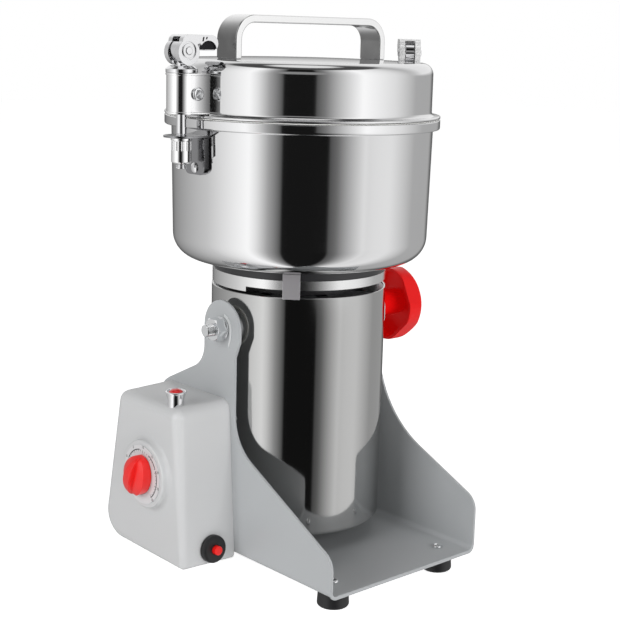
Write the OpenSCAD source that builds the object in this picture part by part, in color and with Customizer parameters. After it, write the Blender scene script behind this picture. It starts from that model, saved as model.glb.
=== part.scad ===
// Swing-type electric grain mill: a motor can with a stainless grinding bowl on top,
// hung between the two cheeks of a sheet-steel stand so that it can tip forward and pour.
// Millimetres. Origin on the floor under the motor axis, +Z up, the open front towards -Y,
// the control box on the -X cheek and the red clamping knob on the +X cheek.

/* [Stand] */
// Height of the rubber feet
foot_h = 16; // [12:1:24]
// Largest diameter of a rubber foot
foot_d = 25; // [22:1:32]
// Sideways distance of the feet from the middle
foot_x = 58; // [50:1:62]
// Distance of the front feet from the motor axis
foot_front_y = 114; // [100:1:118]
// Distance of the rear feet from the motor axis
foot_rear_y = 70; // [62:1:76]
// Thickness of the stand's steel sheet
sheet_t = 2; // [1.5:0.5:2.5]
// Width of the stand over both cheeks
stand_w = 160; // [158:1:166]
// Reach of the stand in front of the motor axis
stand_front = 135; // [130:1:142]
// Reach of the stand behind the motor axis
stand_rear = 98; // [94:1:104]
// Outer radius of the two long bends
bend_r = 6; // [4:1:8]
// Height of the left cheek's front corner above the base
left_front_h = 29; // [24:1:40]
// Height of the left cheek's slope where it meets the neck
left_neck_h = 91; // [84:1:98]
// Radius of the sweep from the left cheek's slope into its neck
left_sweep_r = 38; // [30:1:60]
// Height of the right cheek's front corner above the base
right_front_h = 42.5; // [36:0.5:50]
// Height of the right cheek's slope where it meets the neck
right_neck_h = 96.5; // [88:0.5:104]
// Radius of the sweep from the right cheek's slope into its neck
right_sweep_r = 90; // [60:1:100]
// Height of the rear shoulder of the cheeks above the base
shoulder_h = 120; // [112:1:126]
// Radius of the ears round the pivot
ear_r = 22.5; // [20:0.5:25]

/* [Pivot] */
// Height of the pivot above the top of the base sheet
pivot_h = 182; // [180:1:190]
// Diameter of the pivot studs
stud_d = 10; // [8:1:12]
// Diameter of the studs' heads inside the can
stud_head_d = 20; // [18:1:24]
// Diameter of the pivot washers
washer_d = 19; // [18:0.5:26]
// Diameter of the bosses on the motor can
boss_d = 30; // [26:1:34]
// Wall of the pivot bushes
bush_wall = 2; // [1.5:0.5:2.5]
// Thickness of the bush flanges
bush_flange = 1.5; // [1:0.1:1.8]
// Thickness of the pivot washers
washer_t = 1.6; // [1:0.2:2.4]
// Width across the flats of the pivot nut
nut_af = 17; // [15:1:19]
// Height of the pivot nut
nut_h = 8.4; // [7:0.2:10]

/* [Hand knob] */
// Radius to the tips of the five lobes
knob_r = 33; // [31:1:36]
// Radius of each lobe's rounding
lobe_r = 18; // [14:1:20]
// Thickness of the knob's grip
knob_t = 18; // [15:1:22]
// Rounding of the grip's outer edge
knob_edge = 8; // [5:1:10]
// Wall of the hollow knob
knob_wall = 2.6; // [2:0.2:3.2]
// Diameter of the knob's hub
hub_d = 22; // [18:1:24]
// Length of the hub behind the grip
hub_l = 19; // [15:0.5:22]
// How far the stud ends short of the knob's face
stud_short = 6; // [4:0.5:8]

/* [Control box] */
// Depth of the box outwards from the cheek
box_d = 51; // [48:1:58]
// Height of the box
box_h = 131; // [128:1:136]
// How far the box reaches below the base sheet
box_drop = 3.5; // [0:0.5:4]
// Place of the box's lower front edge before the motor axis
box_front = 20; // [17:1:24]
// Length of the box along its lower edge
box_l = 118; // [114:1:122]
// How far the front face leans back over its height
box_lean_front = 9; // [6:1:12]
// How far the rear face leans in over its height
box_lean_rear = 25; // [20:1:28]
// Wall of the box
box_wall = 2; // [1.6:0.2:2.6]
// Rounding of the box's outer edges
box_r = 9; // [7:0.5:11]
// Rounding of the lower rear corner
box_heel_r = 22; // [16:1:26]
// Taper of the box's sides towards its outer face
box_draft = 1; // [0.5:0.5:2]
// Diameter of the threaded posts inside the box
post_d = 9; // [8:0.5:10]
// Diameter of the box's screws
box_screw_d = 4; // [3:0.5:5]

/* [Timer] */
// Place of the timer behind the motor axis
timer_y = 26; // [22:1:30]
// Height of the timer above the base sheet
timer_h = 66; // [62:1:70]
// Diameter of the raised boss at its foot
dial_foot_d = 62; // [58:1:66]
// Diameter of the flat on the raised boss
dial_d = 52; // [48:1:56]
// Height of the raised boss
dial_rise = 7; // [5:0.5:9]
// Thickness of the dial plate
dial_t = 0.6; // [0.4:0.1:1]
// Length of the oval timer knob
timer_knob_d = 34.5; // [30:0.5:38]
// Width of the oval timer knob
timer_knob_w = 27; // [24:1:29]
// Thickness of the timer knob's grip rib
timer_rib_w = 8; // [6:0.5:10]
// Height of the timer knob
timer_knob_h = 15; // [12:1:18]
// Diameter of the timer shaft
timer_shaft_d = 6; // [5:0.5:7]
// Side of the square timer case
timer_case = 46; // [40:1:50]
// Depth of the timer case
timer_case_d = 22; // [18:1:26]

/* [Lamp] */
// Diameter of the lamp bezel's lip
lamp_d = 17; // [15:1:20]
// Height of the lamp bezel
lamp_h = 10.5; // [8:0.5:13]
// Diameter of the lamp lens
lens_d = 10.5; // [9:0.5:12]
// Distance of the lamp from the cheek
lamp_x = 40; // [36:1:41]
// Place of the lamp behind the motor axis
lamp_y = 6; // [5:1:12]

/* [Overload reset] */
// Diameter of the rubber boot
boot_d = 22.4; // [20:0.4:24]
// Height of the rubber boot
boot_h = 5.6; // [4:0.2:8]
// Diameter of the reset button
reset_d = 7.4; // [6:0.2:9]
// Travel of the reset button
reset_travel = 2.5; // [1.5:0.5:3]
// Distance of the reset button from the cheek
reset_x = 22.5; // [20:0.5:26]
// Height of the reset button above the lower edge of the box
reset_z = 14.5; // [14:0.5:17]

/* [Power inlet] */
// Width of the inlet's flange
inlet_w = 34; // [30:1:36]
// Height of the inlet's flange
inlet_h = 27; // [24:1:30]
// Thickness of the inlet's flange
inlet_t = 2.4; // [2:0.2:3]
// Width of the socket
socket_w = 24; // [22:1:26]
// Height of the socket
socket_h = 16.5; // [15:0.5:18]
// Depth of the socket
socket_d = 14; // [12:1:16]
// Height of the inlet above the lower edge of the box
inlet_z = 45; // [40:1:50]

/* [Motor can] */
// Outer diameter of the motor can
can_d = 143; // [138:1:144]
// Wall of the motor can
can_wall = 1.5; // [1.2:0.1:2]
// Length of the motor can
can_l = 195.5; // [188:0.5:196.5]
// Height of the can's upper edge above the pivot
can_above = 29; // [26:1:32]
// Rounding of the can's lower edge
can_r = 4; // [3:0.5:6]
// Thickness of the bottom cover
cover_t = 2.5; // [2:0.5:3.5]
// Number of vent slots in the bottom cover
cover_slots = 12; // [8:1:16]

/* [Motor] */
// Diameter of the armature
arm_d = 62; // [56:1:66]
// Length of the armature and stator stacks
stack_l = 60; // [50:1:68]
// Number of armature slots
arm_slots = 12; // [8:1:16]
// Air gap between armature and stator
air_gap = 0.8; // [0.5:0.1:1.2]
// Radial room of the field coils
coil_room = 22; // [19:0.5:24]
// Thickness of the stator behind the coils
yoke_t = 8; // [6:0.5:10]
// Diameter of the commutator
comm_d = 38; // [34:1:42]
// Length of the commutator
comm_l = 22; // [18:1:26]
// Diameter of the cooling fan
fan_d = 112; // [100:1:118]
// Height of the fan
fan_h = 16; // [12:1:18]
// Number of fan blades
fan_blades = 11; // [7:1:13]
// Shaft diameter in the bearings
shaft_d = 15; // [14:1:17]
// Shaft diameter above the motor
spindle_d = 14; // [12:0.5:14]
// Outer diameter of the bearings
bearing_d = 35; // [32:1:40]
// Width of the bearings
bearing_w = 11; // [9:1:13]

/* [Neck] */
// Height of the vent gap above the can
vent_gap = 6; // [5:0.5:7]
// Height of the neck ring's band
ring_h = 7.3; // [6.1:0.2:9.1]
// Outer diameter of the neck ring
ring_d = 142; // [136:1:144]
// Wall of the neck ring
ring_wall = 3.8; // [3.6:0.1:4.4]
// How far the ring's lugs reach forwards of the pivot, in degrees
lug_front = 13; // [8:1:20]
// How far the ring's lugs reach behind the pivot, in degrees
lug_rear = 40; // [30:1:50]
// Width of the three spacer tabs
tab_w = 13.6; // [11:0.2:17]
// Thickness of the three spacer tabs
tab_t = 3.4; // [2.6:0.2:3.8]
// How far the tabs stand proud of the ring
tab_proud = 1.6; // [1:0.2:2.4]
// Thickness of the mounting plate
plate_t = 5.7; // [4.7:0.2:6.7]
// Height of the rubber pad under the bowl
pad_h = 2.7; // [2.3:0.2:4.1]

/* [Bowl] */
// Outer diameter of the bowl under the rim
bowl_d = 210; // [204:1:214]
// Narrowing of the bowl's diameter towards the bottom
bowl_taper = 3; // [1:0.5:5]
// Height of the bowl to the top of the rim
bowl_h = 114.5; // [108:0.5:120]
// Wall of the bowl
bowl_wall = 1.5; // [1.2:0.1:2]
// Rounding of the bowl's lower corner
bowl_r = 20; // [16:1:24]
// How far the rim band stands out from the bowl's wall
rim_out = 5.5; // [4.5:0.5:7]
// Height of the rim band
rim_h = 7.7; // [6:0.1:9]
// Width of the sealing ring
seal_w = 4.5; // [3.5:0.5:5]
// How far the sealing ring stands proud of the rim
seal_proud = 0.6; // [0.4:0.1:0.8]
// Radius of the circle of screws that hold the bowl down
bowl_screw_r = 40; // [36:1:46]
// Diameter of the shaft seal's foot
shaft_seal_d = 52; // [48:1:60]

/* [Blades] */
// Radius of the lowest blade
low_blade_r = 95; // [85:1:97]
// Radius of the two upper blades
top_blade_r = 80; // [70:1:90]
// Thickness of the blades
blade_t = 2.5; // [2:0.5:3]
// Width of a blade at its hub
blade_w = 30; // [26:1:34]
// Width of a blade near its tip
blade_tip_w = 12; // [9:1:16]
// Height of the spacers between the blades
spacer_h = 9; // [7:1:11]
// Diameter of the spacers
spacer_d = 28; // [24:1:32]

/* [Lid] */
// Outer diameter of the lid's wall
lid_d = 207; // [203:1:210]
// Height of the lid
lid_h = 43; // [38:1:48]
// Wall of the lid
lid_wall = 1.5; // [1.2:0.1:2]
// Rounding of the lid's upper edge
lid_r = 9; // [7:0.5:12]
// Thickness of the lid's outward lip
lip_t = 2; // [1.6:0.2:2.6]
// Radius of the sweep from the wall into the lip
lip_r = 3; // [2:0.5:4]
// Rise of the lid's dome in its middle
dome_h = 2; // [1:0.5:3]

/* [Lid handle] */
// Length of the handle over its legs
handle_l = 158; // [150:1:164]
// Height of the handle above the lid's edge
handle_h = 34; // [30:1:38]
// Width of the handle's flat bar
handle_w = 24; // [20:1:28]
// Thickness of the handle's flat bar
handle_t = 6; // [4:0.5:7]
// Outer bend radius of the handle
handle_r = 19; // [14:1:22]

/* [Latches] */
// Distance of each latch bolt outwards from the rim band
latch_out = 10; // [9:0.5:13]
// Diameter of the latch bolts
bolt_d = 8; // [7:0.5:9]
// Width of the latch brackets
bracket_w = 24; // [22:1:28]
// Height of the upper brackets
bracket_h = 30; // [26:1:33]
// Thickness of the bracket sheet
bracket_t = 1.5; // [1.2:0.1:2]
// Diameter of the screw heads in the upper brackets
bracket_screw_d = 10; // [8:0.5:11]
// Diameter of those screws' shanks
bracket_shank_d = 5; // [4:0.5:5.5]
// Height of the seats that the cams bear on
seat_h = 5.4; // [4.5:0.1:7]
// Diameter of the seats
seat_d = 24; // [21:1:26]
// Radius of the cam discs
cam_r = 9.6; // [8.6:0.1:10.6]
// Offset of the cams from their pins
cam_off = 1; // [0.6:0.1:1.4]
// Reach of the levers from their pins
lever_l = 27; // [24:1:30]
// Width of the levers
lever_w = 18; // [16:1:20]
// Thickness of the bolts' eyes
eye_t = 7; // [6:0.5:8]
// Diameter of the lever pins
pin_d = 6; // [5:0.5:6.5]
// Direction of the right lever, turned outwards from the lid
right_lever_turn = 48; // [0:1:90]
// Drop of the lower brackets under the rim
bracket_drop = 12; // [10:1:15]
// Height of the lower brackets' plates
lower_plate_h = 30; // [26:1:34]
// Diameter of the rivets in the lower brackets
rivet_d = 5; // [4:0.5:6]
// Diameter of the rivets' heads
rivet_head_d = 8.4; // [7:0.2:10]
// Diameter of the knurled nuts
knurl_d = 16; // [14:1:18]
// Height of the knurled nuts
knurl_h = 19; // [16:1:22]

/* [Fits] */
// Radial clearance of a turning pin or stud
run_gap = 0.05; // [0.03:0.01:0.08]
// Gap between pieces that move past each other
move_gap = 0.3; // [0.2:0.05:0.45]

/* [Hidden] */
$fn = 72;

// Heights, counted up from the floor
base_z = foot_h;
base_top = base_z + sheet_t;
pivot_z = base_top + pivot_h;
can_top = pivot_z + can_above;
can_bottom = can_top - can_l;
ring_z = can_top + vent_gap;
plate_z = ring_z + ring_h;
pad_z = plate_z + plate_t;
bowl_z = pad_z + pad_h;
rim_z = bowl_z + bowl_h;
lid_z = rim_z + seal_proud + move_gap;
lid_top = lid_z + lid_h;

// Radii
can_ro = can_d / 2;
can_ri = can_ro - can_wall;
bowl_ro = bowl_d / 2;
bowl_low_ro = bowl_ro - bowl_taper / 2;
rim_ro = bowl_ro + rim_out;
lid_ro = lid_d / 2;
ring_ro = ring_d / 2;

// Pivot
cheek_out = stand_w / 2;
cheek_in = cheek_out - sheet_t;
stud_r = stud_d / 2;
bush_ro = stud_r + run_gap + bush_wall;
boss_x = cheek_in - bush_flange - move_gap;

// Latches
latch_x = rim_ro + latch_out;
bolt_r = bolt_d / 2;
bracket_z = lid_z + lip_t + 1;
seat_z = bracket_z + bracket_h;
cam_reach = cam_r + cam_off;
pin_z = seat_z + seat_h + move_gap + cam_reach;
flange_z = rim_z - bracket_drop;
knurl_z = flange_z - bracket_t - move_gap - knurl_h;
bolt_end = knurl_z - 4;

// Control box
box_z = base_z - box_drop;
box_out = cheek_out + box_d;
timer_z = base_top + timer_h;
dial_x = box_out + dial_rise;
timer_sink = 5;
rear_lean_deg = atan(box_lean_rear / box_h);

// Points along an arc about c from angle a0 to a1
function arc(c, r, a0, a1, n = 10) =
    [for (i = [0:n]) let (a = a0 + (a1 - a0) * i / n) c + r * [cos(a), sin(a)]];

// Middle of the arc that rounds corner b, between a and c, with radius r
function corner_mid(a, b, c, r) =
    let (u = (a - b) / norm(a - b), v = (c - b) / norm(c - b))
    b + (u + v) / norm(u + v) * r / sin(acos(u * v) / 2);

// The arc that rounds corner b, between a and c, with radius r
function corner(a, b, c, r, n = 10) =
    let (u = (a - b) / norm(a - b), v = (c - b) / norm(c - b), half = acos(u * v) / 2,
         m = corner_mid(a, b, c, r), s = b + u * r / tan(half) - m, e = b + v * r / tan(half) - m,
         a0 = atan2(s[1], s[0]), turn = atan2(e[1], e[0]) - a0,
         d = turn > 180 ? turn - 360 : turn < -180 ? turn + 360 : turn)
    [for (i = [0:n]) m + r * [cos(a0 + d * i / n), sin(a0 + d * i / n)]];

// A closed outline of [x, y, radius] corners, with each corner rounded
function rounded(pts, n = 10) =
    [for (i = [0:len(pts) - 1])
        let (k = len(pts), p = pts[(i + k - 1) % k], q = pts[i], s = pts[(i + 1) % k],
             a = [p[0], p[1]], b = [q[0], q[1]], c = [s[0], s[1]])
        each (q[2] > 0 ? corner(a, b, c, q[2], n) : [b])];

// Lays a drawing of (y, z) flat across X, from x0 to x1
module across(x0, x1) {
    translate([x0, 0, 0]) rotate([90, 0, 90]) linear_extrude(x1 - x0) children();
}

// Lays a drawing of (x, z) flat along Y, from y0 to y1
module along(y0, y1) {
    translate([0, y1, 0]) rotate([90, 0, 0]) linear_extrude(y1 - y0) children();
}

// A cylinder along X from x0 to x1 about (y, z)
module rod_x(x0, x1, r, y = 0, z = 0) {
    translate([x0, y, z]) rotate([0, 90, 0]) cylinder(h = x1 - x0, r = r);
}

// A cylinder along Y from y0 to y1 about (x, z)
module rod_y(y0, y1, r, x = 0, z = 0) {
    translate([x, y0, z]) rotate([-90, 0, 0]) cylinder(h = y1 - y0, r = r);
}

// A tube standing on z0
module tube(z0, h, ro, ri) {
    translate([0, 0, z0]) difference() {
        cylinder(h = h, r = ro);
        translate([0, 0, -1]) cylinder(h = h + 2, r = ri);
    }
}

// ---------------------------------------------------------------- stand

// Side view of a cheek: an ear on a narrow neck, a low front and a high rear shoulder
module cheek_outline(front_h, neck_h, sweep_r) {
    neck = 17;
    ear_step = pivot_z - 8;
    front = base_top + front_h;
    rear_fall = 0.41;
    rear_lean = 12;
    rear = base_top + shoulder_h;
    rear_foot = rear + rear_fall * (stand_rear - ear_r);
    polygon(rounded([
        [-ear_r, pivot_z, 0], [-ear_r, ear_step, 5], [-neck, ear_step - 13, 8],
        [-neck, base_top + neck_h, sweep_r], [-stand_front, front, 15],
        [-stand_front, base_z, 6], [stand_rear, base_z, 6], [stand_rear - rear_lean, rear, 34],
        [ear_r, rear_foot, 22], [ear_r, pivot_z, 0]], 14));
    translate([0, pivot_z]) circle(r = ear_r);
}

// End view of the folded sheet: base and two cheeks
module fold_outline() {
    top = pivot_z + ear_r + 1;
    inner_r = bend_r - sheet_t;
    polygon(rounded([
        [-cheek_out, top, 0], [-cheek_out, base_z, bend_r], [cheek_out, base_z, bend_r],
        [cheek_out, top, 0], [cheek_in, top, 0], [cheek_in, base_top, inner_r],
        [-cheek_in, base_top, inner_r], [-cheek_in, top, 0]]));
}

foot_places = [for (x = [-foot_x, foot_x], y = [-foot_front_y, foot_rear_y]) [x, y]];
foot_screw_d = 6;

module base_frame() {
    color("#9aa1a6") difference() {
        intersection() {
            along(-stand_front - 1, stand_rear + 1) fold_outline();
            union() {
                across(-cheek_out - 1, 0) cheek_outline(left_front_h, left_neck_h, left_sweep_r);
                across(0, cheek_out + 1) cheek_outline(right_front_h, right_neck_h, right_sweep_r);
            }
        }
        for (p = foot_places)
            translate([p[0], p[1], 0]) cylinder(h = base_top + 1, d = foot_screw_d + 0.6);
        rod_x(-cheek_out - 1, cheek_out + 1, bush_ro, 0, pivot_z);
        for (p = box_posts) rod_x(-cheek_out - 1, -cheek_in + 1, box_screw_d / 2 + 0.2, p[0], p[1]);
    }
}

foot_edge = 2.5;

module rubber_feet() {
    recess = 5;
    color("#1d1d1f") for (p = foot_places) translate([p[0], p[1], 0]) rotate_extrude()
        polygon(concat([[foot_screw_d / 2, recess], [foot_d * 0.28, recess], [foot_d * 0.28, 0]],
                       arc([foot_d / 2 - foot_edge, foot_edge], foot_edge, -90, 0, 6),
                       [[foot_d / 2 - 0.8, foot_h], [foot_screw_d / 2, foot_h]]));
}

// A pan-head screw with its head down at z = 0 and its shank up
module pan_screw(d, head_d, head_h, l) {
    rotate_extrude() polygon(concat([[0, -head_h], [head_d * 0.3, -head_h]],
        arc([head_d / 2 - head_h * 0.55, -head_h * 0.45], head_h * 0.55, -90, 0, 6),
        [[head_d / 2, 0], [d / 2, 0], [d / 2, l], [0, l]]));
}

module foot_screws() {
    color("silver") for (p = foot_places) translate([p[0], p[1], base_top])
        mirror([0, 0, 1]) pan_screw(foot_screw_d - 0.1, 8, 2.4, foot_h + sheet_t - 6);
}

module pivot_bushes() {
    color("#e8e4d8") for (s = [-1, 1]) translate([0, 0, pivot_z]) rotate([0, 90 * s, 0])
        translate([0, 0, boss_x + move_gap]) difference() {
            union() {
                cylinder(h = bush_flange, r = ear_r - 6);
                cylinder(h = bush_flange + sheet_t, r = bush_ro);
            }
            translate([0, 0, -1]) cylinder(h = 10, r = stud_r + run_gap);
        }
}

// ---------------------------------------------------------------- control box

// Corners of the box in side view: [y, z, radius], at a given inset from its outside
function box_corners(i) = let (f = -box_front + i, t = box_z + box_h - i, b = box_z + i) [
    [f, b, 5], [f + box_lean_front, t, box_r],
    [-box_front + box_l - box_lean_rear - i, t, box_r],
    [-box_front + box_l - i, b, box_heel_r]];

// The box as a block: flat against the cheek, softly rounded outside, with a little draft
module box_block(i, over = 0) {
    edge = max(box_r - i, 1);
    cs = box_corners(i + box_draft);
    hull() {
        across(-cheek_out - 1, -cheek_out + over) polygon(rounded(box_corners(i), 7));
        for (k = [0:3]) {
            a = cs[(k + 3) % 4];
            b = cs[k];
            c = cs[(k + 1) % 4];
            r = max(b[2] - i, 2);
            m = corner_mid([a[0], a[1]], [b[0], b[1]], [c[0], c[1]], r);
            translate([-box_out + i + edge, m[0], m[1]]) rotate([0, -90, 0]) box_corner_button(r, edge);
        }
    }
}

// A disc with a rolled edge, for one outer corner of the box
module box_corner_button(r, edge) {
    e = min(r, edge);
    translate([0, 0, edge - e]) rotate_extrude($fn = 32)
        polygon(concat([[0, 0]], arc([r - e, 0], e, 0, 90, 6), [[0, e]]));
}

// Threaded posts behind the cheek: [y, z]
box_posts = [for (p = [[12, 14], [60, 14], [-1, box_h - 20], [53, box_h - 16]])
    [p[0], box_z + p[1]]];

// Places something on the sloping rear face of the box, its own +Z pointing out of the face
module on_rear_face(x, h) {
    y = -box_front + box_l - box_lean_rear * h / box_h;
    translate([x, y, box_z + h]) rotate([-90 + rear_lean_deg, 0, 0]) children();
}

inlet_x = -cheek_out - box_d / 2;
inlet_screw_x = inlet_w / 2 - 2.6;

module control_box() {
    color("#b9bec1") difference() {
        union() {
            difference() {
                box_block(0);
                box_block(box_wall, 1);
            }
            translate([-box_out, timer_y, timer_z]) rotate([0, -90, 0]) dial_boss();
            for (p = box_posts) rod_x(-box_out + box_wall / 2, -cheek_out, post_d / 2, p[0], p[1]);
        }
        rod_x(-dial_x - 1, -cheek_out - 10, timer_shaft_d / 2 + 1, timer_y, timer_z);
        translate([-cheek_out - lamp_x, lamp_y, box_z + box_h - 10]) cylinder(h = 20, d = lens_d + 2);
        on_front_face(-cheek_out - reset_x, reset_z)
            translate([0, 0, -12]) cylinder(h = 16, r = reset_d / 2 + 3);
        for (p = box_posts) rod_x(-cheek_out - 11, -cheek_out + 1, box_screw_d / 2, p[0], p[1]);
        on_rear_face(inlet_x, inlet_z)
            translate([0, 0, -10]) linear_extrude(20) square([socket_w + 3.4, socket_h + 3.4], center = true);
        for (s = [-1, 1]) on_rear_face(inlet_x + s * inlet_screw_x, inlet_z)
            translate([0, 0, -10]) cylinder(h = 20, d = 2.4);
    }
}

// The raised round boss that carries the dial
module dial_boss() {
    sweep_r = (dial_foot_d - dial_d) / 2 - 1.5;
    edge = 1.5;
    rotate_extrude() polygon(concat(
        [[timer_shaft_d, -box_wall], [dial_foot_d / 2, -box_wall], [dial_foot_d / 2, 0]],
        arc([dial_foot_d / 2, sweep_r], sweep_r, -90, -180, 7),
        arc([dial_foot_d / 2 - sweep_r - edge, dial_rise - edge], edge, 0, 90, 5),
        [[timer_shaft_d, dial_rise]]));
}

module box_screws() {
    color("silver") {
        for (p = box_posts) translate([-cheek_in, p[0], p[1]]) rotate([0, -90, 0])
            pan_screw(box_screw_d - 0.2, 8, 2.2, 9);
        for (s = [-1, 1]) on_rear_face(inlet_x + s * inlet_screw_x, inlet_z)
            translate([0, 0, inlet_t]) mirror([0, 0, 1]) pan_screw(2.2, 4, 1, inlet_t + 1.5);
    }
}

module dial_plate() {
    color("#dfe2e4") difference() {
        rod_x(-dial_x - dial_t, -dial_x, dial_d / 2 - 2, timer_y, timer_z);
        rod_x(-dial_x - 2, -dial_x + 1, timer_shaft_d / 2 + 1, timer_y, timer_z);
    }
}

module timer_case() {
    front = box_out - box_wall;
    color("#e6e6e2") {
        difference() {
            translate([-front, timer_y - timer_case / 2, timer_z - timer_case / 2])
                cube([timer_case_d, timer_case, timer_case]);
            rod_x(-front - 1, -front + timer_sink + 1, timer_shaft_d / 2 + run_gap, timer_y, timer_z);
        }
        for (s = [-1, 1]) translate([-front + timer_case_d, timer_y + s * 10 - 3, timer_z - 0.4])
            cube([6, 6, 0.8]);
    }
}

timer_turned = 163;

module timer_knob() {
    back = dial_x + dial_t + move_gap;
    body_h = timer_knob_h * 0.72;
    shaft_out = dial_rise + dial_t + move_gap + box_wall + timer_sink;
    color("#d8231f") translate([-back, timer_y, timer_z]) rotate([0, -90, 0]) {
        difference() {
            rotate([0, 0, timer_turned]) union() {
                intersection() {
                    knob_dome(body_h);
                    knob_oval(timer_knob_w);
                }
                intersection() {
                    knob_dome(timer_knob_h);
                    knob_oval(timer_rib_w);
                }
            }
            translate([0, 0, -1]) cylinder(h = 8, d = timer_shaft_d);
        }
        translate([0, 0, -shaft_out]) cylinder(h = shaft_out + 7, d = timer_shaft_d);
    }
}

// An egg-shaped dome, as wide as the timer knob is long
module knob_dome(h) {
    r = timer_knob_d / 2;
    foot = 3;
    rotate_extrude() polygon(concat([[0, 0], [r - 1, 0], [r, 1]],
        [for (a = [0:9:90]) [r * cos(a), foot + (h - foot) * sin(a)]]));
}

// An upright oval of the given width between two arcs, just longer than the timer knob
module knob_oval(w) {
    l = timer_knob_d / 2 + 1;
    r = (l * l + w * w / 4) / w;
    intersection() {
        translate([0, r - w / 2, 0]) cylinder(h = timer_knob_h + 1, r = r);
        translate([0, w / 2 - r, 0]) cylinder(h = timer_knob_h + 1, r = r);
    }
}

module lamp_bezel() {
    r = lamp_d / 2;
    color("#d9dde0") translate([-cheek_out - lamp_x, lamp_y, box_z + box_h]) rotate_extrude()
        polygon(concat([[lens_d / 2, -8], [lens_d / 2 + 0.9, -8], [lens_d / 2 + 0.9, 0], [r - 1.6, 0],
            [r - 1.6, lamp_h * 0.55], [r, lamp_h * 0.72]],
            arc([r - 0.8, lamp_h - 0.8], 0.8, 0, 90, 4),
            [[lens_d / 2 + 1.2, lamp_h], [lens_d / 2, lamp_h - 2.5]]));
}

module lamp_lens() {
    r = lens_d / 2 - 0.05;
    color("#e0302a") translate([-cheek_out - lamp_x, lamp_y, box_z + box_h]) rotate_extrude()
        polygon(concat([[0, -12], [r - 1, -12], [r - 1, -9], [r, -8.5], [r, lamp_h - 3.2]],
            [for (a = [20:20:80]) [r * cos(a), lamp_h - 3.2 + 1.8 * sin(a)]], [[0, lamp_h - 1.4]]));
}

// Puts a drawing on the sloping front face of the box, its own +Z pointing out of the face
module on_front_face(x, h) {
    y = -box_front + box_lean_front * h / box_h;
    lean = atan(box_lean_front / box_h);
    translate([x, y, box_z + h]) rotate([90 - lean, 0, 0]) children();
}

module reset_boot() {
    r = boot_d / 2;
    color("#161618") on_front_face(-cheek_out - reset_x, reset_z) rotate_extrude()
        polygon(concat([[reset_d / 2 + move_gap, -box_wall - 2], [reset_d / 2 + 2.8, -box_wall - 2],
            [reset_d / 2 + 2.8, 0.2], [r, 0.2]],
            arc([r - 2.6, boot_h - 2.6], 2.6, 0, 90, 6), [[reset_d / 2 + move_gap, boot_h]]));
}

module breaker_body() {
    color("#2a2a2c") on_front_face(-cheek_out - reset_x, reset_z) difference() {
        translate([0, 0, -box_wall - 2.2 - 15]) cylinder(h = 15, r = 8);
        translate([0, 0, -box_wall - 12]) cylinder(h = 12, r = reset_d / 2 - 1 + move_gap);
    }
}

module reset_button() {
    r = reset_d / 2;
    stem = r - 1;
    color("#e0302a") on_front_face(-cheek_out - reset_x, reset_z) rotate_extrude()
        polygon(concat(
            [[0, -8], [stem, -8], [stem, boot_h - reset_travel - 1], [r, boot_h - reset_travel - 1]],
            arc([r - 1, boot_h + reset_travel + 0.6], 1, 0, 90, 5), [[0, boot_h + reset_travel + 1.6]]));
}

module power_inlet() {
    color("#1b1b1d") on_rear_face(inlet_x, inlet_z) difference() {
        union() {
            linear_extrude(inlet_t) polygon(rounded([for (c = [[-1, -1], [1, -1], [1, 1], [-1, 1]])
                [c[0] * inlet_w / 2, c[1] * inlet_h / 2, 3]], 6));
            translate([0, 0, -socket_d - 1.4]) linear_extrude(socket_d + 1.5)
                square([socket_w + 3, socket_h + 3], center = true);
        }
        translate([0, 0, inlet_t - socket_d]) linear_extrude(socket_d + 1)
            polygon(rounded([[-socket_w / 2, socket_h / 2, 5], [socket_w / 2, socket_h / 2, 5],
                             [socket_w / 2, -socket_h / 2, 1], [-socket_w / 2, -socket_h / 2, 1]], 5));
        for (p = inlet_pin_places) translate([p[0], p[1], -socket_d - 3])
            cube([pin_w, pin_h, 12], center = true);
        for (s = [-1, 1]) translate([s * inlet_screw_x, 0, -6]) cylinder(h = 12, d = 2.4);
    }
}

inlet_pin_places = [[-7, -2], [7, -2], [0, 3]];
pin_w = 2;
pin_h = 4;

module inlet_pins() {
    color("#c9b069") on_rear_face(inlet_x, inlet_z) for (p = inlet_pin_places)
        translate([p[0], p[1], inlet_t - socket_d / 2 - 3]) cube([pin_w, pin_h, socket_d + 4], center = true);
}

// ---------------------------------------------------------------- motor can

// Heights inside the can
cup_floor = 4;
arm_t = 6;
bell_top_t = 6;
cover_z = can_bottom + can_wall + move_gap;
bell_low_z = cover_z + cover_t + 5;
bearing_low_z = bell_low_z + cup_floor;
comm_z = bearing_low_z + bearing_w + 8;
stack_z = comm_z + comm_l + 12;
fan_z = stack_z + stack_l + 14;
bell_top_z = can_top - bell_top_t - 1;
bearing_top_z = bell_top_z + bell_top_t - cup_floor - bearing_w;
shaft_r = shaft_d / 2;

module motor_can() {
    lip = 5;
    outer = concat([[can_ro - lip, can_bottom]], arc([can_ro - can_r, can_bottom + can_r], can_r, -90, 0, 8),
                   [[can_ro, can_top], [can_ri, can_top]]);
    inner = concat(arc([can_ro - can_r, can_bottom + can_r], can_r - can_wall, 0, -90, 8),
                   [[can_ro - lip, can_bottom + can_wall]]);
    color("#c3c6c8") difference() {
        rotate_extrude($fn = 128) polygon(concat(outer, inner));
        for (s = [-1, 1]) rod_x(s > 0 ? can_ri - 3 : -can_ro - 3, s > 0 ? can_ro + 3 : -can_ri + 3,
                                stud_r + 0.1, 0, pivot_z);
    }
}

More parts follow.
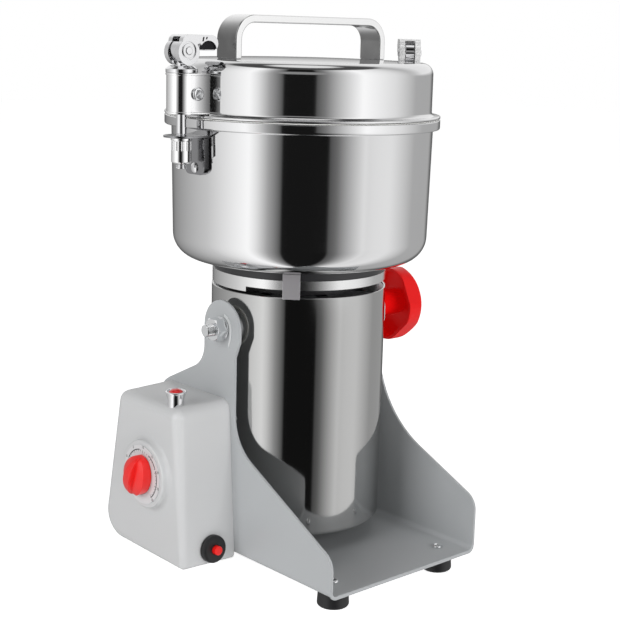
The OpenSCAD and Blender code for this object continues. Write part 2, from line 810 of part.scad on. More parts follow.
module bottom_cover() {
    r = can_ri - 0.3;
    z = cover_z;
    color("#2b2c2e") difference() {
        union() {
            translate([0, 0, z]) cylinder(h = cover_t, r = r - can_r);
            tube(z, cover_t + 5, r - can_r, r - can_r - 3);
            for (p = cover_screw_places) translate([p[0], p[1], z]) cylinder(h = cover_t + 5, d = 10);
        }
        for (i = [0:cover_slots - 1])
            rotate([0, 0, (i + 0.5) * 360 / cover_slots]) translate([r * 0.36, -2.5, z - 1])
            cube([r * 0.4, 5, cover_t + 2]);
        for (p = cover_screw_places) translate([p[0], p[1], z - 1]) cylinder(h = 20, d = 4.4);
    }
}

cover_screw_r = can_ri - can_r - 12;
cover_screw_places = [for (a = [0:90:270]) cover_screw_r * [cos(a), sin(a)]];

// A cup with its floor down that holds one bearing
module bearing_cup() {
    difference() {
        cylinder(h = cup_floor + bearing_w, r = bearing_d / 2 + 4);
        translate([0, 0, cup_floor]) cylinder(h = bearing_w + 1, r = bearing_d / 2);
        translate([0, 0, -1]) cylinder(h = cup_floor + 2, r = shaft_r + 2);
    }
}

module lower_end_bell() {
    color("#8f9497") translate([0, 0, bell_low_z]) {
        bearing_cup();
        difference() {
            for (a = [0:90:270]) rotate([0, 0, a]) translate([bearing_d / 2 + 3, -8, 0])
                cube([can_ri - can_r - bearing_d / 2 - 3.6, 16, arm_t]);
            for (p = cover_screw_places) translate([p[0], p[1], -1]) cylinder(h = arm_t, d = 4);
        }
        for (a = [0:90:270]) rotate([0, 0, a]) translate([stator_ro - column_r, 0, arm_t - 1])
            cylinder(h = stack_z - bell_low_z - arm_t + 1, r = column_r);
    }
}

module upper_end_bell() {
    color("#8f9497") translate([0, 0, bell_top_z]) {
        difference() {
            cylinder(h = bell_top_t, r = can_ri - 0.1);
            translate([0, 0, -1]) cylinder(h = bell_top_t + 2, r = bearing_d / 2 + 3.9);
            for (i = [0:7]) rotate([0, 0, i * 45 + 22.5]) translate([bearing_d / 2 + 12, -5, -1])
                cube([can_ri - bearing_d / 2 - 22, 10, bell_top_t + 2]);
        }
        translate([0, 0, bell_top_t]) mirror([0, 0, 1]) bearing_cup();
    }
}

module bearings() {
    color("#b0b4b7") for (z = [bearing_low_z, bearing_top_z])
        tube(z, bearing_w, bearing_d / 2 - 0.02, shaft_r + run_gap);
}

stator_bore = arm_d / 2 + air_gap;
stator_ro = stator_bore + coil_room + yoke_t;
pocket_ro = stator_bore + coil_room;
column_r = 5;

module stator_core() {
    color("#5c5f63") translate([0, 0, stack_z]) difference() {
        cylinder(h = stack_l, r = stator_ro);
        translate([0, 0, -1]) cylinder(h = stack_l + 2, r = stator_bore);
        for (s = [-1, 1]) intersection() {
            translate([-stator_bore - 12, s > 0 ? stator_bore - 2 : -pocket_ro - 1, -1])
                cube([2 * stator_bore + 24, coil_room + 3, stack_l + 2]);
            translate([0, 0, -1]) cylinder(h = stack_l + 2, r = pocket_ro);
        }
    }
}

// Two coils in the stator's pockets, each with a window round its pole
module field_coils() {
    thick = coil_room - 8;
    inner = stator_bore + 2;
    over = 9;
    color("#a8562a") for (s = [-1, 1]) translate([0, 0, stack_z]) difference() {
        translate([0, 0, -over]) intersection() {
            translate([-stator_bore - 4, s > 0 ? inner : -inner - thick, 0])
                cube([2 * stator_bore + 8, thick, stack_l + 2 * over]);
            cylinder(h = stack_l + 2 * over, r = pocket_ro - 0.5);
        }
        translate([0, 0, -over - 1]) cylinder(h = stack_l + 2 * over + 2, r = stator_bore + 1.5);
        translate([-stator_bore * 0.55, s > 0 ? 0 : -stator_ro, 3])
            cube([stator_bore * 1.1, stator_ro, stack_l - 6]);
    }
}

brush_w = 9;
brush_h = 14;
holder_x = comm_d / 2 + 4;
holder_l = stator_ro - 2 * column_r - 1 - holder_x;
brush_l = holder_l - 8;
comm_mid = comm_z + comm_l / 2;

module brush_holders() {
    color("#b98b3c") for (s = [-1, 1]) scale([s, 1, 1])
        translate([holder_x, 0, comm_mid]) difference() {
            translate([0, -brush_w / 2 - 1.6, -brush_h / 2 - 1.6])
                cube([holder_l, brush_w + 3.2, brush_h + 3.2]);
            translate([-1, -brush_w / 2, -brush_h / 2]) cube([holder_l + 2, brush_w, brush_h]);
        }
    color("#3a3a3a") for (s = [-1, 1]) scale([s, 1, 1])
        translate([holder_x + 8, -brush_w / 2 - 1.6, bell_low_z + 6])
            cube([6, brush_w + 3.2, comm_mid - brush_h / 2 - 1.6 - bell_low_z - 6]);
}

module carbon_brushes() {
    color("#2f2f31") for (s = [-1, 1]) scale([s, 1, 1])
        translate([comm_d / 2 + move_gap, -brush_w / 2 + 0.1, comm_mid - brush_h / 2 + 0.1])
            cube([brush_l, brush_w - 0.2, brush_h - 0.2]);
}

module pivot_bosses() {
    color("#b4b8bb") for (s = [-1, 1]) difference() {
        rod_x(s > 0 ? can_ro - 4 : -boss_x, s > 0 ? boss_x : -can_ro + 4, boss_d / 2, 0, pivot_z);
        translate([0, 0, pivot_z - boss_d]) cylinder(h = 2 * boss_d, r = can_ro, $fn = 128);
        rod_x(-boss_x - 1, boss_x + 1, stud_r + 0.05, 0, pivot_z);
    }
}

// Where the parts stacked on each pivot stud end, outwards from the middle
left_nut_x = cheek_out + washer_t + run_gap;
stud_end = left_nut_x + nut_h + 7;
knob_hub_x = cheek_out + washer_t + run_gap;
knob_back_x = knob_hub_x + hub_l;
stud_right_end = knob_back_x + knob_t - stud_short;

module pivot_studs() {
    head = 3.5;
    color("silver") for (s = [-1, 1]) translate([0, 0, pivot_z]) rotate([0, s * 90, 0])
        translate([0, 0, can_ri - 1 - head]) {
            intersection() {
                cylinder(h = head + 3, d = stud_head_d);
                rotate([0, -90, 0]) translate([-(can_ri - 1 - head), 0, -1.5 * stud_head_d])
                    cylinder(h = 3 * stud_head_d, r = can_ri - 0.1);
            }
            cylinder(h = (s > 0 ? stud_right_end : stud_end) - can_ri + 1 + head, r = stud_r);
        }
}

module pivot_washers() {
    color("#cfd3d6") for (s = [-1, 1]) difference() {
        rod_x(s > 0 ? cheek_out : -cheek_out - washer_t, s > 0 ? cheek_out + washer_t : -cheek_out,
              washer_d / 2, 0, pivot_z);
        rod_x(-cheek_out - 9, cheek_out + 9, stud_r + 0.3, 0, pivot_z);
    }
}

module pivot_nut() {
    color("#cfd3d6") translate([-left_nut_x, 0, pivot_z]) rotate([0, -90, 0]) difference() {
        intersection() {
            rotate([0, 0, 30]) cylinder(h = nut_h, d = nut_af / cos(30), $fn = 6);
            rotate_extrude() polygon([[0, 0], [nut_af * 0.52, 0], [nut_af * 0.6, 1.2],
                [nut_af * 0.6, nut_h - 1.2], [nut_af * 0.5, nut_h], [0, nut_h]]);
        }
        translate([0, 0, -1]) cylinder(h = nut_h + 2, r = stud_r + 0.02);
    }
}

// ---------------------------------------------------------------- neck

module neck_ring() {
    lug_drop = vent_gap - 2;
    color("#d3d7d9") difference() {
        union() {
            tube(ring_z, ring_h, ring_ro, ring_ro - ring_wall);
            for (s = [0, 1]) mirror([s, 0, 0]) intersection() {
                tube(ring_z - lug_drop, lug_drop + 1, ring_ro, ring_ro - ring_wall);
                rotate([0, 0, -lug_front])
                    wedge(lug_front + lug_rear, ring_ro + 5, ring_z - lug_drop - 1, lug_drop + 3);
            }
        }
        for (a = tab_angles) rotate([0, 0, a]) tab_block(0.05);
    }
}

// A wedge of the given angle, from the X axis round, for cutting sectors
module wedge(angle, r, z0, h) {
    translate([0, 0, z0]) linear_extrude(h) polygon([
        [0, 0], [r, 0], r * [cos(angle / 2), sin(angle / 2)] / cos(angle / 2),
        r * [cos(angle), sin(angle)]]);
}

tab_angles = [for (i = [0:2]) 224 + i * 120];

module tab_block(grow) {
    translate([ring_ro + tab_proud - tab_t - grow, -tab_w / 2 - grow, can_top - 1 - grow])
        cube([tab_t + 2 * grow, tab_w + 2 * grow, vent_gap + ring_h + plate_t + 1 + 2 * grow]);
}

module spacer_tabs() {
    color("#c9cdd0") for (a = tab_angles) rotate([0, 0, a]) difference() {
        tab_block(0);
        translate([0, 0, can_top - 5]) cylinder(h = 5, r = can_ro, $fn = 128);
    }
}

module mount_plate() {
    color("#26272a") difference() {
        union() {
            translate([0, 0, plate_z]) cylinder(h = plate_t, r = ring_ro - 1);
            tube(bell_top_z + bell_top_t, plate_z - bell_top_z - bell_top_t, ring_ro - 18, ring_ro - 24);
        }
        translate([0, 0, plate_z - 1]) cylinder(h = plate_t + 2, r = spindle_d / 2 + 6);
        for (a = tab_angles) rotate([0, 0, a]) tab_block(0.05);
        for (p = bowl_screw_places) translate([p[0], p[1], plate_z - 1]) cylinder(h = 20, d = 5);
    }
}

bowl_screw_places = [for (a = [0:90:270]) bowl_screw_r * [cos(a), sin(a)]];

module rubber_pad() {
    r = ring_ro - 5;
    color("#202123") difference() {
        rotate_extrude() polygon([[spindle_d / 2 + 6, pad_z], [r - 1, pad_z], [r, pad_z + 1.2],
            [r - 3, pad_z + pad_h], [spindle_d / 2 + 6, pad_z + pad_h]]);
        for (p = bowl_screw_places) translate([p[0], p[1], pad_z - 1]) cylinder(h = 20, d = 5.4);
    }
}

// ---------------------------------------------------------------- bowl

bowl_floor = bowl_z + bowl_wall;
bowl_bore = 15;

// Half section of the bowl, from its bore out, up, round the rim band and back down inside
module bowl_section() {
    w = bowl_wall;
    ri = bowl_ro - w;
    band_z = rim_z - rim_h;
    groove_d = 2.2;
    groove_r = rim_ro - 1.2;
    polygon(concat([[bowl_bore, bowl_z]],
        arc([bowl_low_ro - bowl_r, bowl_z + bowl_r], bowl_r, -90, 0, 14),
        [[bowl_ro, band_z], [rim_ro - 1, band_z]], arc([rim_ro - 1, band_z + 1], 1, -90, 0, 4),
        arc([rim_ro - 0.8, rim_z - 0.8], 0.8, 0, 90, 4),
        [[groove_r, rim_z], [groove_r, rim_z - groove_d], [groove_r - seal_w, rim_z - groove_d],
         [groove_r - seal_w, rim_z], [ri, rim_z], [ri, band_z]],
        arc([bowl_low_ro - bowl_r, bowl_z + bowl_r], bowl_r - w, 0, -90, 14),
        [[bowl_bore, bowl_floor]]));
}

module bowl() {
    color("#d0d3d5") difference() {
        rotate_extrude($fn = 160) bowl_section();
        for (p = bowl_screw_places) translate([p[0], p[1], bowl_z - 1]) cylinder(h = 4, d = 5.4);
        for (s = [-1, 1]) rod_x(s > 0 ? bowl_low_ro - 6 : -bowl_ro - 2,
                                s > 0 ? bowl_ro + 2 : -bowl_low_ro + 6, rivet_d / 2, 0, rivet_z);
    }
}

module rim_seal() {
    groove_r = rim_ro - 1.2;
    color("#e9e9e6") translate([0, 0, rim_z - 2.2])
        tube(0, 2.2 + seal_proud, groove_r - 0.1, groove_r - seal_w + 0.1);
}

module shaft_seal() {
    r = shaft_seal_d / 2;
    color("#d8d5cc") rotate_extrude() polygon(concat([[spindle_d / 2 + move_gap, bowl_z],
        [bowl_bore - 0.1, bowl_z], [bowl_bore - 0.1, bowl_floor], [r, bowl_floor]],
        arc([r - 2, bowl_floor + 1.5], 2, 0, 90, 5),
        [[spindle_d / 2 + 5, bowl_floor + 6], [spindle_d / 2 + move_gap, bowl_floor + 6]]));
}

module head_screws() {
    color("silver") {
        for (p = cover_screw_places) translate([p[0], p[1], cover_z]) pan_screw(3.9, 8, 1.6, 11);
        for (p = bowl_screw_places) translate([p[0], p[1], bowl_floor])
            mirror([0, 0, 1]) pan_screw(4.9, 9, 2.4, pad_h + plate_t + bowl_wall - 1);
    }
}

rivet_z = flange_z - lower_plate_h + 5;

// Plan of a latch bracket: straight sides from the wall, round nose about the bolt
module bracket_plan(grow) {
    r = bracket_w / 2 + grow;
    translate([latch_x, 0]) circle(r = r);
    translate([bowl_ro - 14, -r]) square([latch_x - bowl_ro + 14, 2 * r]);
}

// A lower bracket on the +X side: a plate on the bowl wall and a flange for the bolt
module lower_bracket(open_slot) {
    difference() {
        union() {
            translate([0, 0, flange_z - bracket_t]) linear_extrude(bracket_t) bracket_plan(1.5);
            across(bowl_low_ro - 4, bowl_ro + 3) polygon(rounded([
                [-bracket_w / 2, flange_z - lower_plate_h, 5], [bracket_w / 2, flange_z - lower_plate_h, 5],
                [bracket_w / 2, flange_z, 3], [-bracket_w / 2, flange_z, 3]], 6));
        }
        rotate_extrude($fn = 160) polygon([[0, bowl_z + bowl_r], [bowl_low_ro, bowl_z + bowl_r],
            [bowl_ro, rim_z - rim_h], [bowl_ro, rim_z], [0, rim_z]]);
        translate([latch_x, 0, flange_z - bracket_t - 1]) cylinder(h = bracket_t + 2, r = bolt_r + run_gap);
        if (open_slot) translate([latch_x - bolt_r - 1, 0, flange_z - bracket_t - 1])
            cube([2 * bolt_r + 1.6, bracket_w, bracket_t + 2]);
        rod_x(bowl_ro - 10, bowl_ro + 10, rivet_d / 2, 0, rivet_z);
    }
}

module left_lower_bracket() {
    color("#bfc3c6") rotate([0, 0, 180]) lower_bracket(false);
}

module right_lower_bracket() {
    color("#bfc3c6") lower_bracket(true);
}

module bracket_rivets() {
    color("#d6d9db") for (s = [0, 180]) rotate([0, 0, s]) {
        rod_x(bowl_low_ro - 3.2, bowl_ro + 3.5, rivet_d / 2 - run_gap, 0, rivet_z);
        translate([bowl_ro + 3, 0, rivet_z]) rotate([0, 90, 0]) rotate_extrude()
            polygon(concat([[0, 0]], [for (a = [0:15:90]) [rivet_head_d / 2 * cos(a), 2 * sin(a)]]));
    }
}

// ---------------------------------------------------------------- spindle

hub_z = bowl_floor + 6 + move_gap;
blade_z = [for (i = [0:2]) hub_z + 3 + i * (blade_t + spacer_h)];
blade_nut_z = blade_z[2] + blade_t;

module motor_shaft() {
    color("#9ea3a6") rotate_extrude() polygon([
        [0, bell_low_z + 1], [shaft_r, bell_low_z + 1], [shaft_r, bearing_low_z + bearing_w],
        [shaft_r + 1.5, bearing_low_z + bearing_w + 0.6], [shaft_r + 1.5, bearing_top_z - 0.6],
        [shaft_r, bearing_top_z], [shaft_r, bearing_top_z + bearing_w + 1],
        [spindle_d / 2, bearing_top_z + bearing_w + 1],
        [spindle_d / 2, hub_z], [spindle_d / 2 - 1, hub_z], [spindle_d / 2 - 1, blade_nut_z + 12],
        [spindle_d / 2 - 2, blade_nut_z + 13], [0, blade_nut_z + 13]]);
}

module armature_core() {
    color("#686b6f") translate([0, 0, stack_z]) difference() {
        cylinder(h = stack_l, r = arm_d / 2);
        translate([0, 0, -1]) cylinder(h = stack_l + 2, r = shaft_r + 1.5);
        for (i = [0:arm_slots - 1]) rotate([0, 0, i * 360 / arm_slots]) {
            translate([arm_d / 2 - 9, 0, -1]) cylinder(h = stack_l + 2, r = 3.4, $fn = 24);
            translate([arm_d / 2 - 9, -1.2, -1]) cube([12, 2.4, stack_l + 2]);
        }
    }
}

module armature_windings() {
    color("#b0602e") {
        for (z = [stack_z - 8, stack_z + stack_l]) translate([0, 0, z]) difference() {
            cylinder(h = 8, r = arm_d / 2 - 4);
            translate([0, 0, -1]) cylinder(h = 10, r = shaft_r + 1.5);
        }
        for (i = [0:arm_slots - 1]) rotate([0, 0, i * 360 / arm_slots])
            translate([arm_d / 2 - 9, 0, stack_z]) cylinder(h = stack_l, r = 3.3, $fn = 24);
    }
}

module commutator() {
    color("#b5713c") difference() {
        union() {
            tube(comm_z, comm_l, comm_d / 2, shaft_r + 1.5);
            tube(comm_z + comm_l, 3, comm_d / 2 + 2, shaft_r + 1.5);
        }
        for (i = [0:23]) rotate([0, 0, i * 15]) translate([comm_d / 2 - 1, -0.3, comm_z - 1])
            cube([5, 0.6, comm_l + 5]);
    }
}

module cooling_fan() {
    color("#3a3d40") translate([0, 0, fan_z]) {
        difference() {
            union() {
                cylinder(h = 2, r = fan_d / 2);
                cylinder(h = fan_h, r = shaft_r + 8);
                for (i = [0:fan_blades - 1]) rotate([0, 0, i * 360 / fan_blades])
                    translate([shaft_r + 7, -1, 0]) cube([fan_d / 2 - shaft_r - 7.5, 2, fan_h]);
            }
            translate([0, 0, -1]) cylinder(h = fan_h + 2, r = shaft_r + 1.5);
        }
    }
}

// Half outline of a blade: a swept arm that narrows to a hooked tip
function blade_edge(r, side, sweep) = [for (i = [0:12]) let (t = i / 12, d = 12 + (r - 12) * t,
    w = (blade_w + (blade_tip_w - blade_w) * t) / 2, a = sweep * t * t) [
        d * cos(a) - side * w * sin(a), d * sin(a) + side * w * cos(a)]];

function reversed(v) = [for (i = [len(v) - 1:-1:0]) v[i]];

module blade(r, sweep) {
    linear_extrude(blade_t) difference() {
        union() {
            circle(r = blade_w / 2 + 1);
            for (a = [0, 180]) rotate(a) polygon(concat([[0, -blade_w / 2]], blade_edge(r, -1, sweep),
                reversed(blade_edge(r, 1, sweep)), [[0, blade_w / 2]]));
        }
        circle(r = spindle_d / 2 - 1);
    }
}

module cutting_blades() {
    reach = [low_blade_r, top_blade_r, top_blade_r];
    color("#c8ccce") for (i = [0:2]) translate([0, 0, blade_z[i]]) rotate([0, 0, 20 + i * 60])
        blade(reach[i], i == 0 ? 14 : 22);
}

module blade_spacers() {
    color("#aeb2b5") {
        tube(hub_z, 3, spacer_d / 2, spindle_d / 2 - 1);
        for (i = [0:1]) tube(blade_z[i] + blade_t, spacer_h, spacer_d / 2, spindle_d / 2 - 1);
    }
}

module blade_nut() {
    color("#cfd3d6") translate([0, 0, blade_nut_z]) difference() {
        union() {
            cylinder(h = 1.5, r = 13);
            translate([0, 0, 1.5]) cylinder(h = 9, d = 19 / cos(30), $fn = 6);
        }
        translate([0, 0, -1]) cylinder(h = 14, r = spindle_d / 2 - 1);
    }
}

// ---------------------------------------------------------------- lid

// Outside of the lid from its lip up over the dome, as [r, z] points
function lid_outside() = concat(
    [[rim_ro, lid_z]], arc([rim_ro - lip_t / 2, lid_z + lip_t / 2], lip_t / 2, 0, 90, 4),
    arc([lid_ro + lip_r, lid_z + lip_t + lip_r], lip_r, -90, -180, 7),
    arc([lid_ro - lid_r, lid_top - lid_r], lid_r, 0, 90, 10),
    [for (i = [1:8]) let (r = (lid_ro - lid_r) * (1 - i / 8))
        [r, lid_top + dome_h * (1 - pow(r / (lid_ro - lid_r), 2))]]);

module lid_shell() {
    w = lid_wall;
    inside = concat([[rim_ro - 6, lid_z]], [[lid_ro - w, lid_z]],
        arc([lid_ro - lid_r, lid_top - lid_r], lid_r - w, 0, 90, 10),
        [for (i = [1:8]) let (r = (lid_ro - lid_r) * (1 - i / 8))
            [r, lid_top - w + dome_h * (1 - pow(r / (lid_ro - lid_r), 2))]]);
    color("#d4d7d9") rotate_extrude($fn = 160) polygon(concat(lid_outside(), reversed(inside)));
}

// The lid as a solid plug, for cutting what is fixed to its wall
module lid_plug() {
    rotate_extrude($fn = 160) polygon(concat(lid_outside(), [[0, lid_z]]));
}

module lid_handle() {
    half = handle_l / 2;
    top = lid_top + handle_h;
    foot = lid_top - 4;
    color("#d9dcde") difference() {
        along(-handle_w / 2, handle_w / 2) difference() {
            polygon(rounded(
                [[-half, foot, 0], [half, foot, 0], [half, top, handle_r], [-half, top, handle_r]], 14));
            polygon(rounded([[-half + handle_t, foot - 1, 0], [half - handle_t, foot - 1, 0],
                [half - handle_t, top - handle_t, handle_r - handle_t],
                [-half + handle_t, top - handle_t, handle_r - handle_t]], 14));
        }
        lid_plug();
    }
}

// ---------------------------------------------------------------- latches

// An upper bracket on the +X side: a U of sheet round the bolt, with a flange at each end
module upper_bracket() {
    difference() {
        union() {
            translate([0, 0, bracket_z]) linear_extrude(bracket_h) difference() {
                bracket_plan(-0.6);
                bracket_plan(-0.6 - bracket_t);
            }
            for (z = [bracket_z, bracket_z + bracket_h - bracket_t])
                translate([0, 0, z]) linear_extrude(bracket_t) bracket_plan(0);
        }
        lid_plug();
        translate([latch_x, 0, bracket_z - 1]) cylinder(h = bracket_h + 2, r = bolt_r + run_gap);
        for (s = [-1, 1]) rod_y(s > 0 ? 5 : -bracket_w, s > 0 ? bracket_w : -5, bracket_shank_d / 2 + 0.1,
                                bracket_screw_x, bracket_screw_z);
    }
}

bracket_screw_x = latch_x - 6;
bracket_screw_z = bracket_z + bracket_h / 2;

module upper_brackets() {
    color("#cdd1d4") for (a = [0, 180]) rotate([0, 0, a]) upper_bracket();
}

module bracket_screws() {
    color("#c2c6c9") for (a = [0, 180], s = [-1, 1]) rotate([0, 0, a]) scale([1, s, 1])
        translate([bracket_screw_x, bracket_w / 2 - 0.6, bracket_screw_z]) rotate([90, 0, 0])
            pan_screw(bracket_shank_d, bracket_screw_d, 2.4, 4.5);
}

// Stands a drawing of the right or the left latch at its bolt, turned to its lever
module at_latch(side) {
    if (side < 0) translate([-latch_x, 0, 0]) children();
    else translate([latch_x, 0, 0]) rotate([0, 0, right_lever_turn]) children();
}

module eye_bolt() {
    eye_r = cam_r - 1.4;
    difference() {
        union() {
            translate([0, 0, bolt_end]) cylinder(h = pin_z - bolt_end - eye_r + 1, r = bolt_r);
            rod_y(-eye_t / 2, eye_t / 2, eye_r, 0, pin_z);
        }
        rod_y(-eye_t, eye_t, pin_d / 2, 0, pin_z);
    }
}

module eye_bolts() {
    color("#c9cdd0") for (s = [-1, 1]) at_latch(s) eye_bolt();
}

module cam_seats() {
    r = seat_d / 2;
    color("#c4c8cb") for (s = [-1, 1]) at_latch(s) rotate_extrude() polygon(concat(
        [[bolt_r + 0.1, seat_z], [r - 0.4, seat_z], [r, seat_z + 0.4], [r, seat_z + seat_h * 0.55],
         [r - 3, seat_z + seat_h], [bolt_r + 0.1, seat_z + seat_h]]));
}

module lever_pins() {
    color("#b7bbbe") for (s = [-1, 1]) at_latch(s)
        rod_y(-lever_w / 2 - 1, lever_w / 2 + 1, pin_d / 2 - 0.02, 0, pin_z);
}

// Side view of a lever's arm about its pin, closed: an arch with a rounded finger lobe
module lever_arm() {
    crest = cam_reach + 1;
    polygon(rounded([[-5, 0, 0], [-6.5, crest, 5], [lever_l, crest, 6], [lever_l, 0.2, 5],
                     [lever_l - 13, 0.2, 5], [lever_l - 17, 6.5, 2], [6, 3, 0]], 8));
}

module cam_lever() {
    slot = max(eye_t / 2, bolt_r) + move_gap;
    translate([0, 0, pin_z]) difference() {
        union() {
            along(-lever_w / 2, lever_w / 2) lever_arm();
            rod_y(-lever_w / 2, lever_w / 2, cam_r, 0, -cam_off);
        }
        along(-slot, slot) polygon([[-14, -14], [14, -14], [14, 4], [11, cam_r + 0.6], [-14, cam_r + 0.6]]);
        rod_y(-lever_w, lever_w, pin_d / 2 + run_gap);
    }
}

module left_cam_lever() {
    color("#d2d5d8") at_latch(-1) cam_lever();
}

module right_cam_lever() {
    color("#d2d5d8") at_latch(1) cam_lever();
}

module knurled_nut(side) {
    grooves = 12;
    r = knurl_d / 2;
    color("#c9cdd0") translate([side * latch_x, 0, knurl_z]) difference() {
        rotate_extrude() polygon([[bolt_r + run_gap, 0], [r - 1.2, 0], [r - 0.4, 1], [r - 0.4, knurl_h - 2.4],
            [r - 0.9, knurl_h - 2.2], [r, knurl_h - 1.8], [r, knurl_h - 0.3],
            [bolt_r + run_gap, knurl_h - 0.3]]);
        for (i = [0:grooves - 1]) rotate([0, 0, i * 360 / grooves]) translate([r + 0.3, 0, knurl_h * 0.5])
            cylinder(h = knurl_h * 0.37, r = 1.2, $fn = 16);
    }
}

module left_knurled_nut() {
    knurled_nut(-1);
}

module right_knurled_nut() {
    knurled_nut(1);
}

// ---------------------------------------------------------------- hand knob

// Five-lobed outline with nearly flat sides, shrunk by the given wall
module lobes(wall) {
    d = knob_r - lobe_r;
    k = d + (lobe_r - wall) / cos(36);
    polygon(rounded([for (a = [0:72:288]) [k * cos(a), k * sin(a), lobe_r - wall]], 12));
}

hand_knob_turned = -7;

module hand_knob() {
    color("#d8231f") translate([knob_back_x, 0, pivot_z]) rotate([0, 90, 0])
    rotate([0, 0, hand_knob_turned]) difference() {
        union() {
            intersection() {
                difference() {
                    linear_extrude(knob_t) lobes(0);
                    translate([0, 0, -1]) linear_extrude(knob_t - knob_wall + 1) lobes(knob_wall);
                }
                rotate_extrude() polygon(concat(
                    [[0, -1], [knob_r - 0.8, -1], [knob_r - 0.8, 0], [knob_r + 0.01, 2]],
                    arc([knob_r - knob_edge, knob_t - knob_edge], knob_edge, 0, 90, 8), [[0, knob_t]]));
            }
            translate([0, 0, -hub_l]) cylinder(h = hub_l + knob_t - 1, r = hub_d / 2);
        }
        translate([0, 0, -hub_l - 1])
            cylinder(h = stud_right_end - knob_back_x + hub_l + 1.5, r = stud_r + run_gap);
    }
}

base_frame();
rubber_feet();
foot_screws();
pivot_bushes();
control_box();
box_screws();
dial_plate();
timer_case();
lamp_bezel();
lamp_lens();
reset_boot();
breaker_body();
power_inlet();
inlet_pins();
timer_knob();
reset_button();
motor_can();
bottom_cover();
head_screws();
lower_end_bell();
upper_end_bell();
bearings();
stator_core();
field_coils();
brush_holders();
carbon_brushes();
neck_ring();
spacer_tabs();
mount_plate();
rubber_pad();
bowl();
rim_seal();
shaft_seal();
left_lower_bracket();
right_lower_bracket();
bracket_rivets();
pivot_bosses();
pivot_studs();
pivot_washers();
pivot_nut();
motor_shaft();
armature_core();
armature_windings();
commutator();
cooling_fan();
cutting_blades();
blade_spacers();
blade_nut();
lid_shell();
lid_handle();
upper_brackets();
bracket_screws();
eye_bolts();
cam_seats();
lever_pins();
left_cam_lever();
right_cam_lever();
left_knurled_nut();
right_knurled_nut();
hand_knob();
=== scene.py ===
"""Dresses the swing-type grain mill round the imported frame.

Steel, paint, rubber and plastic pieces are modelled over the CAD solids, each on its own body,
and a studio of soft light stands round them.
"""

import logging
from dataclasses import dataclass
from enum import Enum
from math import atan2, cos, degrees, radians, sin, tau
from typing import Optional, Sequence

import bpy
from mathutils import Matrix, Quaternion, Vector


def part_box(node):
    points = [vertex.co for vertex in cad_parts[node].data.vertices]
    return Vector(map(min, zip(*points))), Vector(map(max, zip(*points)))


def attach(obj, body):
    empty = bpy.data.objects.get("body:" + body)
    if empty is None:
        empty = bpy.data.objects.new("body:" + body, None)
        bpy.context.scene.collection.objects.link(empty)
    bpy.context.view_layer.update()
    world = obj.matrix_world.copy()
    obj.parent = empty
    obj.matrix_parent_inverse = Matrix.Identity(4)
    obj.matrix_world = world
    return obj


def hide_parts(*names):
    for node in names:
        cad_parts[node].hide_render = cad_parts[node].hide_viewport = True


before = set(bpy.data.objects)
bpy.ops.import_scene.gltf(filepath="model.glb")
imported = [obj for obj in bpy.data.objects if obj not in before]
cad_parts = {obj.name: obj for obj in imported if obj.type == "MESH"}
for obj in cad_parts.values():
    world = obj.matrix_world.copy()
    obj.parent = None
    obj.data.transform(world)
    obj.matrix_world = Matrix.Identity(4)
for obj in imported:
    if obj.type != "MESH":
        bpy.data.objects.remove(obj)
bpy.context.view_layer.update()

log = logging.getLogger("mill")

MM = 0.001

# Edges that bend less than this are shaded smooth on a new piece, in degrees
SMOOTH_ANGLE = 30.0
# Edges that bend more than this are rounded, in degrees
BEVEL_ANGLE = 35.0
# Faces of a copied node that meet within this angle are joined, in degrees
FLAT_ANGLE = 0.4
# Distance from groove to groove of every thread
THREAD_PITCH = 1.25 * MM

Point = tuple[float, float]
Triple = tuple[float, float, float]
Piece = bpy.types.Object
Material = bpy.types.Material


# ---- shader maths


class Signal:
    """A socket that can be used in sums: each operator adds its Math node."""

    def __init__(self, shop: "Shop", socket: bpy.types.NodeSocket) -> None:
        """Stands for an output socket of a node tree."""
        self.shop = shop
        self.socket = socket

    def __add__(self, other: object) -> "Signal":
        """Sum of two signals."""
        return self.shop.maths("ADD", self, other)

    __radd__ = __add__

    def __sub__(self, other: object) -> "Signal":
        """Difference of two signals."""
        return self.shop.maths("SUBTRACT", self, other)

    def __rsub__(self, other: object) -> "Signal":
        """A number less this signal."""
        return self.shop.maths("SUBTRACT", other, self)

    def __mul__(self, other: object) -> "Signal":
        """Product of two signals."""
        return self.shop.maths("MULTIPLY", self, other)

    __rmul__ = __mul__

    def __truediv__(self, other: object) -> "Signal":
        """Quotient of two signals."""
        return self.shop.maths("DIVIDE", self, other)

    def clamp(self) -> "Signal":
        """The signal held between 0 and 1."""
        return self.shop.node("ShaderNodeClamp", Value=self)["Result"]

    def between(self, start: float, end: float, rise: float = 1.0, fall: float = 1.0) -> "Signal":
        """1 between two values and 0 outside them, with soft sides.

        Args:
            start: Value at which it begins to rise.
            end: Value at which it has fallen to 0.
            rise: Slope of the rising side.
            fall: Slope of the falling side.

        Returns:
            The signal.
        """
        return ((self - start) * rise).clamp() * ((end - self) * fall).clamp()


